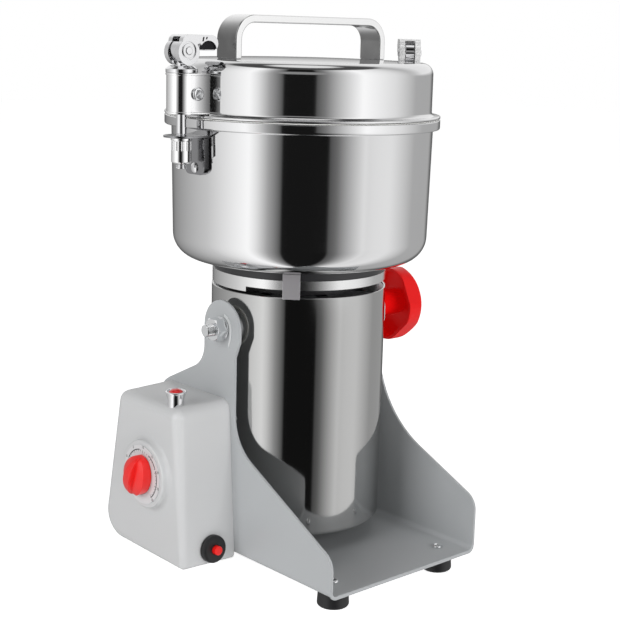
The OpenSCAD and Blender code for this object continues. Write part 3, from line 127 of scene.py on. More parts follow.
class Shop:
    """The node tree of a material or world, with tools to fill it."""

    def __init__(self, owner: bpy.types.ID) -> None:
        """Opens the node tree of an owner.

        Args:
            owner: The material or world.
        """
        owner.use_nodes = True
        self.owner = owner
        self.tree = owner.node_tree

    @classmethod
    def fresh(cls, name: str) -> "Shop":
        """The node tree of a new material of that name."""
        return cls(bpy.data.materials.new(name))

    def node(self, kind: str, settings: Optional[dict] = None,
             **inputs: object) -> dict[object, Signal]:
        """Adds a node, sets its settings and feeds its inputs.

        Args:
            kind: The node's type name.
            settings: Attributes of the node, set before its inputs.
            **inputs: Values or signals by input name, with an underscore for a space, where iN is
                input N.

        Returns:
            The node's outputs as signals, by name and by number.
        """
        made = self.tree.nodes.new(kind)
        for key, value in (settings or {}).items():
            if key == "stops":
                self._set_stops(made.color_ramp, value)
            else:
                setattr(made, key, value)
        for key, value in inputs.items():
            numbered = key[0] == "i" and key[1:].isdigit()
            self.feed(made.inputs[int(key[1:]) if numbered else key.replace("_", " ")], value)
        signals = [Signal(self, socket) for socket in made.outputs]
        by_name = {s.socket.name: s for s in reversed(signals)}
        return {**by_name, **dict(enumerate(signals))}

    @staticmethod
    def _set_stops(ramp: bpy.types.ColorRamp, stops: Sequence[Point]) -> None:
        """Gives a colour ramp its grey stops.

        Args:
            ramp: The colour ramp.
            stops: The stops as (place, brightness).
        """
        while len(ramp.elements) > 1:
            ramp.elements.remove(ramp.elements[-1])
        for i, (place, grey) in enumerate(stops):
            stop = ramp.elements[0] if i == 0 else ramp.elements.new(place)
            stop.position = place
            stop.color = (grey, grey, grey, 1)

    def feed(self, socket: bpy.types.NodeSocket, value: object) -> None:
        """Links a signal to a socket, or sets the socket's own value.

        Args:
            socket: The input socket.
            value: The signal or value.
        """
        if isinstance(value, Signal):
            self.tree.links.new(value.socket, socket)
        elif isinstance(value, tuple) and len(value) == 3 and socket.type == "RGBA":
            socket.default_value = (*value, 1.0)
        else:
            socket.default_value = value

    def maths(self, operation: str, *values: object) -> Signal:
        """Adds one Math node.

        Args:
            operation: The node's operation.
            *values: Up to three signals or numbers.

        Returns:
            The result.
        """
        made = self.tree.nodes.new("ShaderNodeMath")
        made.operation = operation
        for socket, value in zip(made.inputs, values):
            self.feed(socket, value)
        return Signal(self, made.outputs[0])

    def place(self) -> Signal:
        """The object's own coordinates, in metres."""
        return self.node("ShaderNodeTexCoord")["Object"]

    def noise(self, scale: float, vector: Optional[Signal] = None, detail: float = 3.0,
              roughness: float = 0.5) -> Signal:
        """Smooth noise from 0 to 1.

        Args:
            scale: Features per metre.
            vector: Where to read the noise, or None for the object's own coordinates.
            detail: Octaves of finer noise.
            roughness: Weight of the finer octaves.

        Returns:
            The noise value.
        """
        return self.node("ShaderNodeTexNoise", {"normalize": True}, Vector=vector or self.place(),
                         Scale=scale, Detail=detail, Roughness=roughness)["Fac"]

    def stretched(self, along: Triple) -> Signal:
        """The object's coordinates scaled along each axis."""
        return self.node("ShaderNodeMapping", Vector=self.place(), Scale=along)["Vector"]

    def lathe_marks(self, round_scale: float = 6.0, height_scale: float = 1600.0) -> Signal:
        """Coordinates that run round the Z axis, for marks left by turning.

        Args:
            round_scale: Noise cells per radian.
            height_scale: Noise cells per metre along the height and outwards.

        Returns:
            The coordinates as a vector signal.
        """
        part = self.node("ShaderNodeSeparateXYZ", Vector=self.place())
        x, y, z = part["X"], part["Y"], part["Z"]
        angle = self.maths("ARCTAN2", y, x)
        radius = self.maths("SQRT", x * x + y * y)
        return self.node("ShaderNodeCombineXYZ", X=angle * round_scale, Y=radius * height_scale,
                         Z=z * height_scale)["Vector"]

    def blend(self, amount: object, first: object, second: object) -> Signal:
        """A colour between two colours."""
        return self.node("ShaderNodeMix", {"data_type": "RGBA"}, i0=amount, i6=first, i7=second)[2]

    def clouded(self, colour: Triple, scale: float, share: float,
                darkest: float) -> tuple[Signal, Signal]:
        """Slow noise, and a colour that it darkens a little.

        Args:
            colour: The colour at its brightest.
            scale: Noise cells per metre.
            share: How far it goes towards the darkest colour.
            darkest: The darkest colour as a share of the brightest.

        Returns:
            The noise and the colour.
        """
        cloud = self.noise(scale)
        return cloud, self.blend(cloud * share, colour, shaded(colour, darkest))

    def bump(self, height: Signal, strength: float, distance: float,
             edge: float = 0.0) -> Signal:
        """A normal bent by a height signal.

        Args:
            height: The height, from 0 to 1.
            strength: Share of the bending that is used.
            distance: How high 1 stands, in metres.
            edge: Radius by which the surface's sharp edges look rounded, or 0 for none.

        Returns:
            The normal.
        """
        more = {}
        if edge:
            more["Normal"] = self.node("ShaderNodeBevel", {"samples": 4}, Radius=edge)["Normal"]
        return self.node("ShaderNodeBump", Height=height, Strength=strength, Distance=distance,
                         **more)["Normal"]

    def finish(self, **inputs: object) -> Material:
        """Feeds the material's Principled shader.

        Args:
            **inputs: Values or signals by input name, with an underscore for a space.

        Returns:
            The material.
        """
        shader = self.tree.nodes["Principled BSDF"]
        for key, value in inputs.items():
            self.feed(shader.inputs[key.replace("_", " ")], value)
        return self.owner


def shaded(colour: Triple, share: float) -> Triple:
    """A colour darkened to a share of itself."""
    return tuple(share * c for c in colour)


# ---- finishes


class Grain(Enum):
    """Polishing marks on steel, by their noise cells per metre along X, Y and Z."""

    TURNED = "round the upright axis"
    DRAWN_X = (40.0, 2200.0, 2200.0)
    CAST = (700.0, 700.0, 700.0)


@dataclass(frozen=True)
class Steel:
    """Bare metal with fine polishing marks."""

    name: str  # the material's name
    colour: Triple = (0.76, 0.76, 0.765)  # colour of the metal
    roughness: float = 0.15  # how dull its polish is
    marks: float = 0.3  # strength of the marks, from 0 to 1
    grain: Grain = Grain.CAST  # the way the polishing marks run
    painted_side_shade: float = 0.0  # painted shade: how much darker the faces that look sideways, along X, are painted, for the darker reflections there
    metal: float = 1.0  # share of bare metal under the polish, where less looks paler and more even

    def make(self) -> Material:
        """Builds the finish.

        Returns:
            The material.
        """
        shop = Shop.fresh(self.name)
        turned = self.grain is Grain.TURNED
        where = shop.lathe_marks() if turned else shop.stretched(self.grain.value)
        marks = shop.noise(1.0, where, 4.0, 0.6)
        cloud, tint = shop.clouded(self.colour, scale=22.0, share=0.25, darkest=0.93)
        dull = self.roughness + (marks - 0.5) * (0.10 * self.marks) + (cloud - 0.5) * 0.03
        # Painted shade: faces that look sideways along X are darkened, standing in for darker
        # reflections there.
        if self.painted_side_shade:
            looks = shop.node("ShaderNodeTexCoord")["Normal"]
            across = shop.node("ShaderNodeSeparateXYZ", Vector=looks)["X"]
            amount = (across * across * (0.75 + cloud * 0.5)).clamp()
            tint = shop.blend(amount, self.colour, shaded(self.colour, 1 - self.painted_side_shade))
        normal = shop.bump(marks, 0.25 * self.marks, 0.02 * MM, edge=0.3 * MM)
        return shop.finish(Base_Color=tint, Metallic=self.metal, Roughness=dull, Normal=normal)


@dataclass(frozen=True)
class Paint:
    """Sprayed powder coat with a faint orange-peel skin."""

    name: str  # the material's name
    colour: Triple  # colour of the coat
    roughness: float = 0.38  # how dull it is
    peel: float = 0.25  # strength of the orange peel

    def make(self) -> Material:
        """Builds the finish.

        Returns:
            The material.
        """
        shop = Shop.fresh(self.name)
        peel = shop.noise(900.0, detail=2.0)
        cloud, tint = shop.clouded(self.colour, scale=14.0, share=0.5, darkest=0.94)
        return shop.finish(Base_Color=tint, Roughness=self.roughness + (cloud - 0.5) * 0.06,
                           Normal=shop.bump(peel, self.peel, 0.12 * MM, edge=0.6 * MM),
                           Specular_IOR_Level=0.5, Coat_Weight=0.12, Coat_Roughness=0.25)


@dataclass(frozen=True)
class Moulding:
    """Moulded plastic or rubber with a fine skin."""

    name: str  # the material's name
    colour: Triple  # colour of the material
    roughness: float = 0.35  # how dull it is
    skin: float = 0.1  # strength of the fine moulded skin
    coat: float = 0.0  # weight of a clear gloss on top
    gloss: float = 0.5  # strength of its own gloss
    glow: float = 0.0  # strength of an even glow painted into it, painted light that lifts its shaded hollows

    def make(self) -> Material:
        """Builds the finish.

        Returns:
            The material.
        """
        shop = Shop.fresh(self.name)
        skin = shop.noise(1500.0, detail=2.0)
        cloud, tint = shop.clouded(self.colour, scale=40.0, share=0.5, darkest=0.9)
        # The glow is painted light: an even emission in the moulding's colour, with no lamp behind
        # it.
        return shop.finish(Base_Color=tint, Roughness=self.roughness + (cloud - 0.5) * 0.05,
                           Normal=shop.bump(skin, self.skin, 0.08 * MM, edge=0.4 * MM),
                           Coat_Weight=self.coat, Coat_Roughness=0.12,
                           Specular_IOR_Level=self.gloss,
                           Emission_Color=self.colour, Emission_Strength=self.glow)


@dataclass(frozen=True)
class Glow:
    """Clear coloured plastic of a lamp's lens."""

    name: str  # the material's name
    colour: Triple  # colour of the lens

    def make(self) -> Material:
        """Builds the finish.

        Returns:
            The material.
        """
        shop = Shop.fresh(self.name)
        facets = shop.noise(900.0, detail=1.0)
        tint = shop.blend(facets, self.colour, shaded(self.colour, 0.6))
        return shop.finish(Base_Color=tint, Roughness=0.12 + facets * 0.08, Coat_Weight=0.6,
                           Coat_Roughness=0.05, Normal=shop.bump(facets, 0.2, 0.1 * MM))


class Finish(Enum):
    """Every finish on the mill, each built once when it is first asked for."""

    SPUN_STEEL = Steel("spun stainless steel", roughness=0.075, grain=Grain.TURNED, marks=0.35)
    CAN_STEEL = Steel("rolled stainless steel", (0.52, 0.52, 0.515), 0.08, 0.3, Grain.TURNED)
    TAB_STEEL = Steel("sawn spacer steel", (0.74, 0.72, 0.745), 0.6, 0.8)
    # The drawn bar carries painted shade on its faces that look sideways along X.
    HANDLE_STEEL = Steel("drawn stainless bar", (0.90, 0.90, 0.90), 0.14, 0.5, Grain.DRAWN_X, 0.8)
    CHROME = Steel("bright chrome", (0.82, 0.82, 0.83), 0.07, 0.3)
    CAST_CHROME = Steel("chrome on a casting", (0.80, 0.80, 0.81), 0.12, 0.8)
    ZINC = Steel("bright zinc", (0.86, 0.87, 0.88), 0.13, 0.5)
    BRIGHT = Steel("polished bracket chrome", (0.97, 0.97, 0.97), 0.09, 0.3)
    SATIN = Steel("satin lever chrome", (0.93, 0.93, 0.93), 0.36, 0.3, metal=0.4)
    # Steel darkened as painted shade, for the lower brackets.
    DARK_STEEL = Steel("steel darkened as painted shade", (0.32, 0.32, 0.33), 0.16, 0.6)
    BLADE = Steel("ground blade steel", (0.72, 0.72, 0.73), 0.24, 0.8, Grain.DRAWN_X)
    RING = Steel("turned ring", (0.80, 0.80, 0.80), 0.2, 0.5, Grain.TURNED)
    CORE = Steel("dull core steel", (0.35, 0.36, 0.38), 0.45, 0.8, Grain.TURNED)
    BELL = Steel("cast aluminium", (0.55, 0.56, 0.57), 0.4, 1.0)
    COPPER = Steel("enamelled copper", (0.62, 0.26, 0.12), 0.3, 1.0, Grain.TURNED)
    BRASS = Steel("brass", (0.75, 0.55, 0.26), 0.25, 0.5)
    STAND_PAINT = Paint("grey stand paint", (0.43, 0.445, 0.455))
    # A lighter stand paint for the ear bead: a painted highlight along the bead.
    BEAD_PAINT = Paint("stand paint lightened as painted highlight", (0.60, 0.615, 0.62))
    BOX_PAINT = Paint("pale grey box paint", (0.56, 0.565, 0.57))
    DIAL_PAINT = Paint("dial plate", (0.62, 0.63, 0.64), 0.3, 0.05)
    # Black ink for the dial's print, also used for the painted shade on the lever's recess floors.
    INK = Moulding("black scale ink and painted shade", (0.012, 0.012, 0.014), 0.6, 0.1, 0.0, 0.2)
    RED = Moulding("glossy red plastic", (0.78, 0.012, 0.010), 0.3, 0.06, 0.12)
    # The knob's glow is painted light that lifts its shaded hollows.
    KNOB_RED = Moulding("deep red plastic", (0.74, 0.004, 0.004), 0.4, 0.06, 0.0, 0.3, 0.16)
    RUBBER = Moulding("black rubber", (0.009, 0.009, 0.010), 0.5, 0.3)
    BLACK = Moulding("black moulding", (0.022, 0.022, 0.024), 0.35, 0.15)
    WHITE = Moulding("white moulding", (0.75, 0.75, 0.72), 0.4)
    SILICONE = Moulding("pale silicone", (0.78, 0.78, 0.76), 0.45)
    CARBON = Moulding("carbon", (0.03, 0.03, 0.03), 0.6)
    LENS = Glow("red lamp lens", (0.70, 0.01, 0.01))

    def material(self) -> Material:
        """The finish's material, made on first use."""
        return bpy.data.materials.get(self.value.name) or self.value.make()


def dress(piece: Piece, finish: Finish) -> None:
    """Puts one finish in all of a piece's material slots.

    Args:
        piece: The piece.
        finish: Its finish.
    """
    material = finish.material()
    if not piece.material_slots:
        piece.data.materials.append(material)
    for slot in piece.material_slots:
        slot.material = material


def dress_nodes(finish: Finish, *nodes: str) -> None:
    """Gives one finish to CAD nodes, by their names."""
    for node in nodes:
        dress(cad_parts[node], finish)


# ---- modelling


def arc(centre: Point, radius: float, start: float, end: float, steps: int = 8) -> list[Point]:
    """Points along an arc.

    Args:
        centre: Middle of the arc.
        radius: Its radius.
        start: Angle of its first point, in degrees.
        end: Angle of its last point, in degrees.
        steps: Number of chords.

    Returns:
        The points, first and last included.
    """
    turn = [radians(start + (end - start) * i / steps) for i in range(steps + 1)]
    return [(centre[0] + radius * cos(a), centre[1] + radius * sin(a)) for a in turn]


def pick(*pieces: Piece) -> None:
    """Leaves edit mode and selects just these pieces.

    Args:
        *pieces: The pieces, with the one to make active first.
    """
    if bpy.context.object and bpy.context.object.mode != "OBJECT":
        bpy.ops.object.mode_set(mode="OBJECT")
    bpy.ops.object.select_all(action="DESELECT")
    for piece in pieces:
        piece.select_set(True)
    if pieces:
        bpy.context.view_layer.objects.active = pieces[0]


def pick_all() -> None:
    """Selects all of the mesh that is being edited."""
    bpy.ops.mesh.select_all(action="SELECT")


def start_piece(name: str) -> Piece:
    """Starts a piece as a single selected vertex at the origin, in edit mode.

    Args:
        name: The piece's name.

    Returns:
        The piece.
    """
    pick()
    bpy.ops.mesh.primitive_plane_add(size=MM)
    piece = bpy.context.object
    piece.name = name
    piece.data.name = name
    bpy.ops.object.mode_set(mode="EDIT")
    bpy.ops.mesh.select_mode(type="VERT")
    pick_all()
    bpy.ops.mesh.merge(type="CENTER")
    return piece


def trace(points: Sequence[Triple]) -> None:
    """Extrudes the one selected vertex through points, and selects the whole line.

    Args:
        points: The points, in order.
    """
    last = Vector((0.0, 0.0, 0.0))
    for i, point in enumerate(points):
        here = Vector(point)
        step = {"value": here - last}
        if i == 0:
            bpy.ops.transform.translate(**step)
        else:
            bpy.ops.mesh.extrude_vertices_move(TRANSFORM_OT_translate=step)
        last = here
    pick_all()


def end_piece(piece: Piece) -> Piece:
    """Leaves edit mode with doubles merged, normals outwards and smooth shading.

    Args:
        piece: The piece that is being edited.

    Returns:
        The piece.
    """
    pick_all()
    bpy.ops.mesh.remove_doubles(threshold=0.01 * MM)
    bpy.ops.mesh.normals_make_consistent(inside=False)
    bpy.ops.object.mode_set(mode="OBJECT")
    bpy.ops.object.shade_smooth_by_angle(angle=radians(SMOOTH_ANGLE))
    return piece


def lathe(name: str, section: Sequence[Point], steps: int = 96) -> Piece:
    """Spins a closed half section of (radius, height) points round the Z axis.

    Args:
        name: The piece's name.
        section: Points of the half section, in metres.
        steps: Facets round the axis.

    Returns:
        The turned piece, with its axis on Z.
    """
    piece = start_piece(name)
    trace([(r, 0.0, z) for r, z in section])
    bpy.ops.mesh.edge_face_add()
    bpy.ops.mesh.delete(type="ONLY_FACE")
    pick_all()
    bpy.ops.mesh.spin(steps=steps, angle=tau, center=(0, 0, 0), axis=(0, 0, 1))
    return end_piece(piece)


def plate(name: str, outline: Sequence[Point], thickness: float) -> Piece:
    """Extrudes a flat outline of (x, y) points upwards along Z.

    Args:
        name: The piece's name.
        outline: Corners of the outline, in order, in metres.
        thickness: How far it is extruded.

    Returns:
        The plate, still sharp-edged.
    """
    piece = start_piece(name)
    trace([(x, y, 0.0) for x, y in outline])
    bpy.ops.mesh.edge_face_add()
    bpy.ops.mesh.extrude_region_move(TRANSFORM_OT_translate={"value": (0, 0, thickness)})
    return end_piece(piece)


def settle(piece: Piece, matrix: Matrix) -> Piece:
    """Applies a placing to a piece's mesh, so that its object stays at the origin.

    Args:
        piece: The piece.
        matrix: The placing.

    Returns:
        The piece.
    """
    pick(piece)
    piece.matrix_world = matrix
    bpy.ops.object.transform_apply(location=True, rotation=True, scale=True)
    return piece


def modify(piece: Piece, kind: str, **settings: object) -> Piece:
    """Adds a modifier and applies it.

    Args:
        piece: The piece.
        kind: The modifier's type.
        **settings: Its settings by name.

    Returns:
        The piece.
    """
    pick(piece)
    modifier = piece.modifiers.new(kind.title(), kind)
    for key, value in settings.items():
        setattr(modifier, key, value)
    bpy.ops.object.modifier_apply(modifier=modifier.name)
    return piece


def ease(piece: Piece, width: float, segments: int = 2) -> Piece:
    """Rounds a piece's sharp edges with a bevel and smooths its shading.

    Args:
        piece: The piece.
        width: Width of the bevel.
        segments: Steps across it.

    Returns:
        The piece.
    """
    angle = radians(BEVEL_ANGLE)
    modify(piece, "BEVEL", width=width, segments=segments, limit_method="ANGLE",
           angle_limit=angle, use_clamp_overlap=True, harden_normals=False)
    bpy.ops.object.shade_smooth_by_angle(angle=angle)
    return modify(piece, "WEIGHTED_NORMAL", keep_sharp=True, weight=80)


def cut(piece: Piece, cutter: Piece, place: Matrix) -> Piece:
    """Takes the shape of a cutter out of a piece and deletes the cutter.

    Args:
        piece: The piece.
        cutter: The cutter.
        place: The placing of the cutter.

    Returns:
        The piece.
    """
    settle(cutter, place)
    modify(piece, "BOOLEAN", operation="DIFFERENCE", object=cutter, solver="EXACT")
    bpy.data.objects.remove(cutter)
    return piece


def join(pieces: Sequence[Piece], name: str) -> Piece:
    """Joins several pieces to one.

    Args:
        pieces: The pieces.
        name: The new name.

    Returns:
        The joined piece.
    """
    pick(*pieces)
    bpy.ops.object.join()
    pieces[0].name = pieces[0].data.name = name
    return pieces[0]


def thread_cutter(radius: float, low: float, high: float, chamfer: float = 0.0) -> Piece:
    """A ring with a toothed bore, which cuts a thread's grooves round the Z axis.

    Args:
        radius: Outer radius of the thread.
        low: Height at which the grooves start.
        high: Height at which they end.
        chamfer: Size of the chamfer that it cuts above the grooves.

    Returns:
        The cutter.
    """
    clear = 0.1 * MM
    count = max(1, round((high - low) / THREAD_PITCH))
    step = (high - low) / count
    section = []
    for i in range(count):
        section += [(radius + clear, low + step * i),
                    (radius - 0.55 * step, low + step * (i + 0.5))]
    top = high + chamfer + clear
    section += [(radius + clear, high), (radius - chamfer, top), (radius + MM, top),
                (radius + MM, low)]
    return lathe("thread_cutter", section, 48)


def twin(node: str, name: str, flat: float = FLAT_ANGLE) -> Piece:
    """A merged copy of a CAD node's mesh, with its flat faces joined up.

    Args:
        node: The CAD node.
        name: Name of the copy.
        flat: Faces that meet within this angle are joined, in degrees.

    Returns:
        The copy, at the origin and on no body.
    """
    piece = bpy.data.objects.new(name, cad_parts[node].data.copy())
    piece.data.name = name
    bpy.context.scene.collection.objects.link(piece)
    pick(piece)
    bpy.ops.object.mode_set(mode="EDIT")
    pick_all()
    bpy.ops.mesh.customdata_custom_splitnormals_clear()
    bpy.ops.mesh.remove_doubles(threshold=0.002 * MM)
    bpy.ops.mesh.dissolve_limited(angle_limit=radians(flat))
    bpy.ops.object.mode_set(mode="OBJECT")
    return piece


def stand_in(piece: Piece, body: str, finish: Finish, *nodes: str) -> Piece:
    """Dresses a new piece, puts it on a body and lets it replace CAD nodes.

    Args:
        piece: The new piece.
        body: The body that it rides on.
        finish: Its finish.
        *nodes: The CAD nodes that it replaces.

    Returns:
        The piece.
    """
    dress(piece, finish)
    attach(piece, body)
    if nodes:
        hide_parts(*nodes)
    log.info("%s: %d faces on %s", piece.name, len(piece.data.polygons), body)
    return piece


def eased_twin(node: str, body: str, finish: Finish, width: float) -> Piece:
    """Replaces a CAD node by a copy with rounded edges.

    Args:
        node: The CAD node.
        body: The body that it rides on.
        finish: The copy's finish.
        width: Width of the rounding, in metres.

    Returns:
        The copy.
    """
    piece = ease(twin(node, f"{node}_eased"), width)
    return stand_in(piece, body, finish, node)


def shift(x: float, y: float, z: float) -> Matrix:
    """The placing that moves the origin to a place."""
    return Matrix.Translation((x, y, z))


def facing(direction: Triple, place: Triple) -> Matrix:
    """The placing that turns +Z to a direction and moves the origin to a place."""
    return shift(*place) @ Vector(direction).to_track_quat("Z", "Y").to_matrix().to_4x4()


# Looking along +Y at an upright face, with the drawing's y up
UPRIGHT_FRONT = Matrix(((1, 0, 0, 0), (0, 0, -1, 0), (0, 1, 0, 0), (0, 0, 0, 1)))


@dataclass(frozen=True)
class Cross:
    """The cross recess of a screw's head."""

    reach: float  # length of its arms from the middle
    width: float  # width of the arms
    depth: float  # height of the cutter that makes it

    def screws(self, node: str, width: float, spots: Sequence[Matrix]) -> Piece:
        """A copy of a node of screws, with eased edges and a cross in each head.

        Args:
            node: The CAD node of the screws.
            width: Width of the edges' rounding.
            spots: Placings of the crosses, one for each head.

        Returns:
            The copy.
        """
        r, w = self.reach, self.width / 2
        outline = [(r, -w), (r, w), (w, w), (w, r), (-w, r), (-w, w), (-r, w), (-r, -w),
                   (-w, -w), (-w, -r), (w, -r), (w, -w)]
        piece = ease(twin(node, f"{node}_crossed"), width)
        for spot in spots:
            cut(piece, plate("cross_cutter", outline, self.depth), spot)
        return piece


@dataclass(frozen=True)
class Pocket:
    """A flat-bottomed recess in an upright face across Y, with a thin plate on its floor that is
    dressed dark as painted shade.
    """

    outline: Sequence[Point]  # corners as (x, z), in metres
    face: float  # the face's place on Y
    depth: float  # how deep it goes, below zero where the solid lies on the face's -Y side

    def cut(self, piece: Piece) -> Piece:
        """Cuts the recess.

        Args:
            piece: The piece that it goes into.

        Returns:
            The thin plate that lies on its floor, to be dressed dark as painted shade.
        """
        room, skin = MM, 0.15 * MM
        opens_back = self.depth < 0
        start = self.face + (room if opens_back else self.depth)
        cutter = plate("pocket_cutter", self.outline, abs(self.depth) + room)
        cut(piece, cutter, shift(0, start, 0) @ UPRIGHT_FRONT)
        back = self.face + self.depth + (skin if opens_back else 0)
        # A thin plate on the recess floor, dressed dark later as painted shade.
        floor = plate("pocket_shade_plate", self.outline, skin)
        return settle(floor, shift(0, back, 0) @ UPRIGHT_FRONT)


# ---- the mill


@dataclass
class Vessel:
    """The spun bowl, its lid and the strap handle on top."""

    wall: float = 1.5 * MM  # sheet thickness of bowl and lid
    bowl_radius: float = 105.0 * MM  # outer radius of the bowl under its rim band
    bowl_taper: float = 1.5 * MM  # how much narrower the foot of the wall is
    bowl_corner: float = 20.0 * MM  # outer radius of the bowl's lower corner
    bowl_bore: float = 15.0 * MM  # radius of the shaft's way through the bowl's floor
    rim_height: float = 7.7 * MM  # height of the rim band
    rim_fold: float = 1.2 * MM  # radius of the band's lower fold
    rim_ease: float = 0.9 * MM  # radius of the band's upper edge and of the sweep into it
    seal_seat: float = 4.5 * MM  # width of the groove for the seal
    seal_depth: float = 2.2 * MM  # depth of that groove
    mouth_ease: float = 0.8 * MM  # chamfer of the bowl's mouth
    lid_radius: float = 103.5 * MM  # outer radius of the lid's wall
    lid_corner: float = 9.0 * MM  # radius of the lid's upper edge
    lid_skirt: float = 6.0 * MM  # how far the lid's foot reaches in from its lip
    lip: float = 2.0 * MM  # thickness of the lid's outward lip
    lip_sweep: float = 3.0 * MM  # radius of the sweep from the lid's wall into its lip
    dome: float = 2.0 * MM  # rise of the lid's middle
    dome_steps: int = 12  # steps from the lid's shoulder to its middle
    steps: int = 192  # facets round the bowl and the lid

    def build(self) -> None:
        """Makes the bowl, the lid and the handle."""
        self.bowl()
        self.lid()
        self.handle()

    def bowl(self) -> None:
        """The bowl: a spun cup with a tapered wall and a folded rim band."""
        low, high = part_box("bowl")
        rim, foot, top = high.x, low.z, high.z
        band = top - self.rim_height
        inner = self.bowl_radius - self.wall
        centre = (self.bowl_radius - self.bowl_taper - self.bowl_corner, foot + self.bowl_corner)
        bore, fold, edge, mouth = self.bowl_bore, self.rim_fold, self.rim_ease, self.mouth_ease
        groove, floor = rim - fold, top - self.seal_depth
        section = [(bore, foot), *arc(centre, self.bowl_corner, -90, 0, 16),
                   (self.bowl_radius, band - edge),
                   *arc((self.bowl_radius + edge, band - edge), edge, 180, 90, 4),
                   *arc((rim - fold, band + fold), fold, -90, 0, 6),
                   *arc((rim - edge, top - edge), edge, 0, 90, 5),
                   (groove, top), (groove, floor), (groove - self.seal_seat, floor),
                   (groove - self.seal_seat, top),
                   (inner + mouth, top), (inner, top - mouth), (inner, band),
                   *arc(centre, self.bowl_corner - self.wall, 0, -90, 16),
                   (bore, foot + self.wall)]
        spun = lathe("bowl_spun", section, self.steps)
        stand_in(spun, "head", Finish.SPUN_STEEL, "bowl")

    def lid(self) -> None:
        """The lid: a shallow dome, a rolled shoulder and a lip that covers the rim."""
        low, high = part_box("lid_shell")
        rim, foot = high.x, low.z
        top = high.z - self.dome
        flat = self.lid_radius - self.lid_corner
        corner, roll, sweep = (flat, top - self.lid_corner), self.lip / 2, self.lip_sweep
        outside = [(rim, foot + 0.3 * MM), *arc((rim - roll, foot + roll), roll, 0, 90, 5),
                   *arc((self.lid_radius + sweep, foot + self.lip + sweep), sweep, -90, -180, 10),
                   *arc(corner, self.lid_corner, 0, 90, 14)]
        shares = [1 - i / self.dome_steps for i in range(1, self.dome_steps + 1)]
        crown = [(flat * share, top + self.dome * (1 - share ** 2)) for share in shares]
        inside = [(r, z - self.wall) for r, z in reversed(crown)]
        inside += arc(corner, self.lid_corner - self.wall, 90, 0, 14)
        inside += [(self.lid_radius - self.wall, foot), (rim - self.lid_skirt, foot)]
        spun = lathe("lid_spun", outside + crown + inside, self.steps)
        stand_in(spun, "lid", Finish.SPUN_STEEL, "lid_shell")

    def handle(self) -> None:
        """The strap handle: a bent flat bar with softened edges."""
        strap = ease(twin("lid_handle", "lid_strap"), 1.1 * MM, 3)
        stand_in(strap, "lid", Finish.HANDLE_STEEL, "lid_handle")


@dataclass
class Motor:
    """The motor can, the neck between can and bowl, and everything inside."""

    wall: float = 1.5 * MM  # sheet thickness of the can
    corner: float = 4.0 * MM  # radius of the can's lower edge
    lip: float = 5.0 * MM  # how far the can's lower edge is turned in
    mouth_ease: float = 0.4 * MM  # chamfer of the can's upper edge
    step: float = 0.3 * MM  # how much lower its inner edge lies
    steps: int = 160  # facets round the can

    def build(self) -> None:
        """Makes the can and dresses the neck and the inner works."""
        self.can()
        dress_nodes(Finish.BLACK, "bottom_cover", "mount_plate", "cooling_fan")
        dress_nodes(Finish.ZINC, "head_screws", "bearings", "motor_shaft", "blade_spacers",
                    "blade_nut")
        dress_nodes(Finish.BELL, "lower_end_bell", "upper_end_bell", "pivot_bosses")
        dress_nodes(Finish.CORE, "stator_core", "armature_core")
        dress_nodes(Finish.COPPER, "field_coils", "armature_windings", "commutator")
        dress_nodes(Finish.BRASS, "brush_holders")
        dress_nodes(Finish.CARBON, "carbon_brushes")
        dress_nodes(Finish.RING, "neck_ring")
        dress_nodes(Finish.RUBBER, "rubber_pad")
        dress_nodes(Finish.SILICONE, "rim_seal", "shaft_seal")
        dress_nodes(Finish.BLADE, "cutting_blades")
        eased_twin("spacer_tabs", "head", Finish.TAB_STEEL, 0.9 * MM)

    def can(self) -> None:
        """The can: a rolled tube with a turned-in lower edge."""
        low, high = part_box("motor_can")
        radius, foot, top = high.x, low.z, high.z
        centre = (radius - self.corner, foot + self.corner)
        outer = [(radius - self.lip, foot), *arc(centre, self.corner, -90, 0, 8),
                 (radius, top - self.mouth_ease), (radius - self.mouth_ease, top)]
        inner = [(radius - self.wall, top - self.step),
                 *arc(centre, self.corner - self.wall, 0, -90, 8),
                 (radius - self.lip, foot + self.wall)]
        tube = lathe("can_tube", outer + inner, self.steps)
        stand_in(tube, "head", Finish.CAN_STEEL, "motor_can")


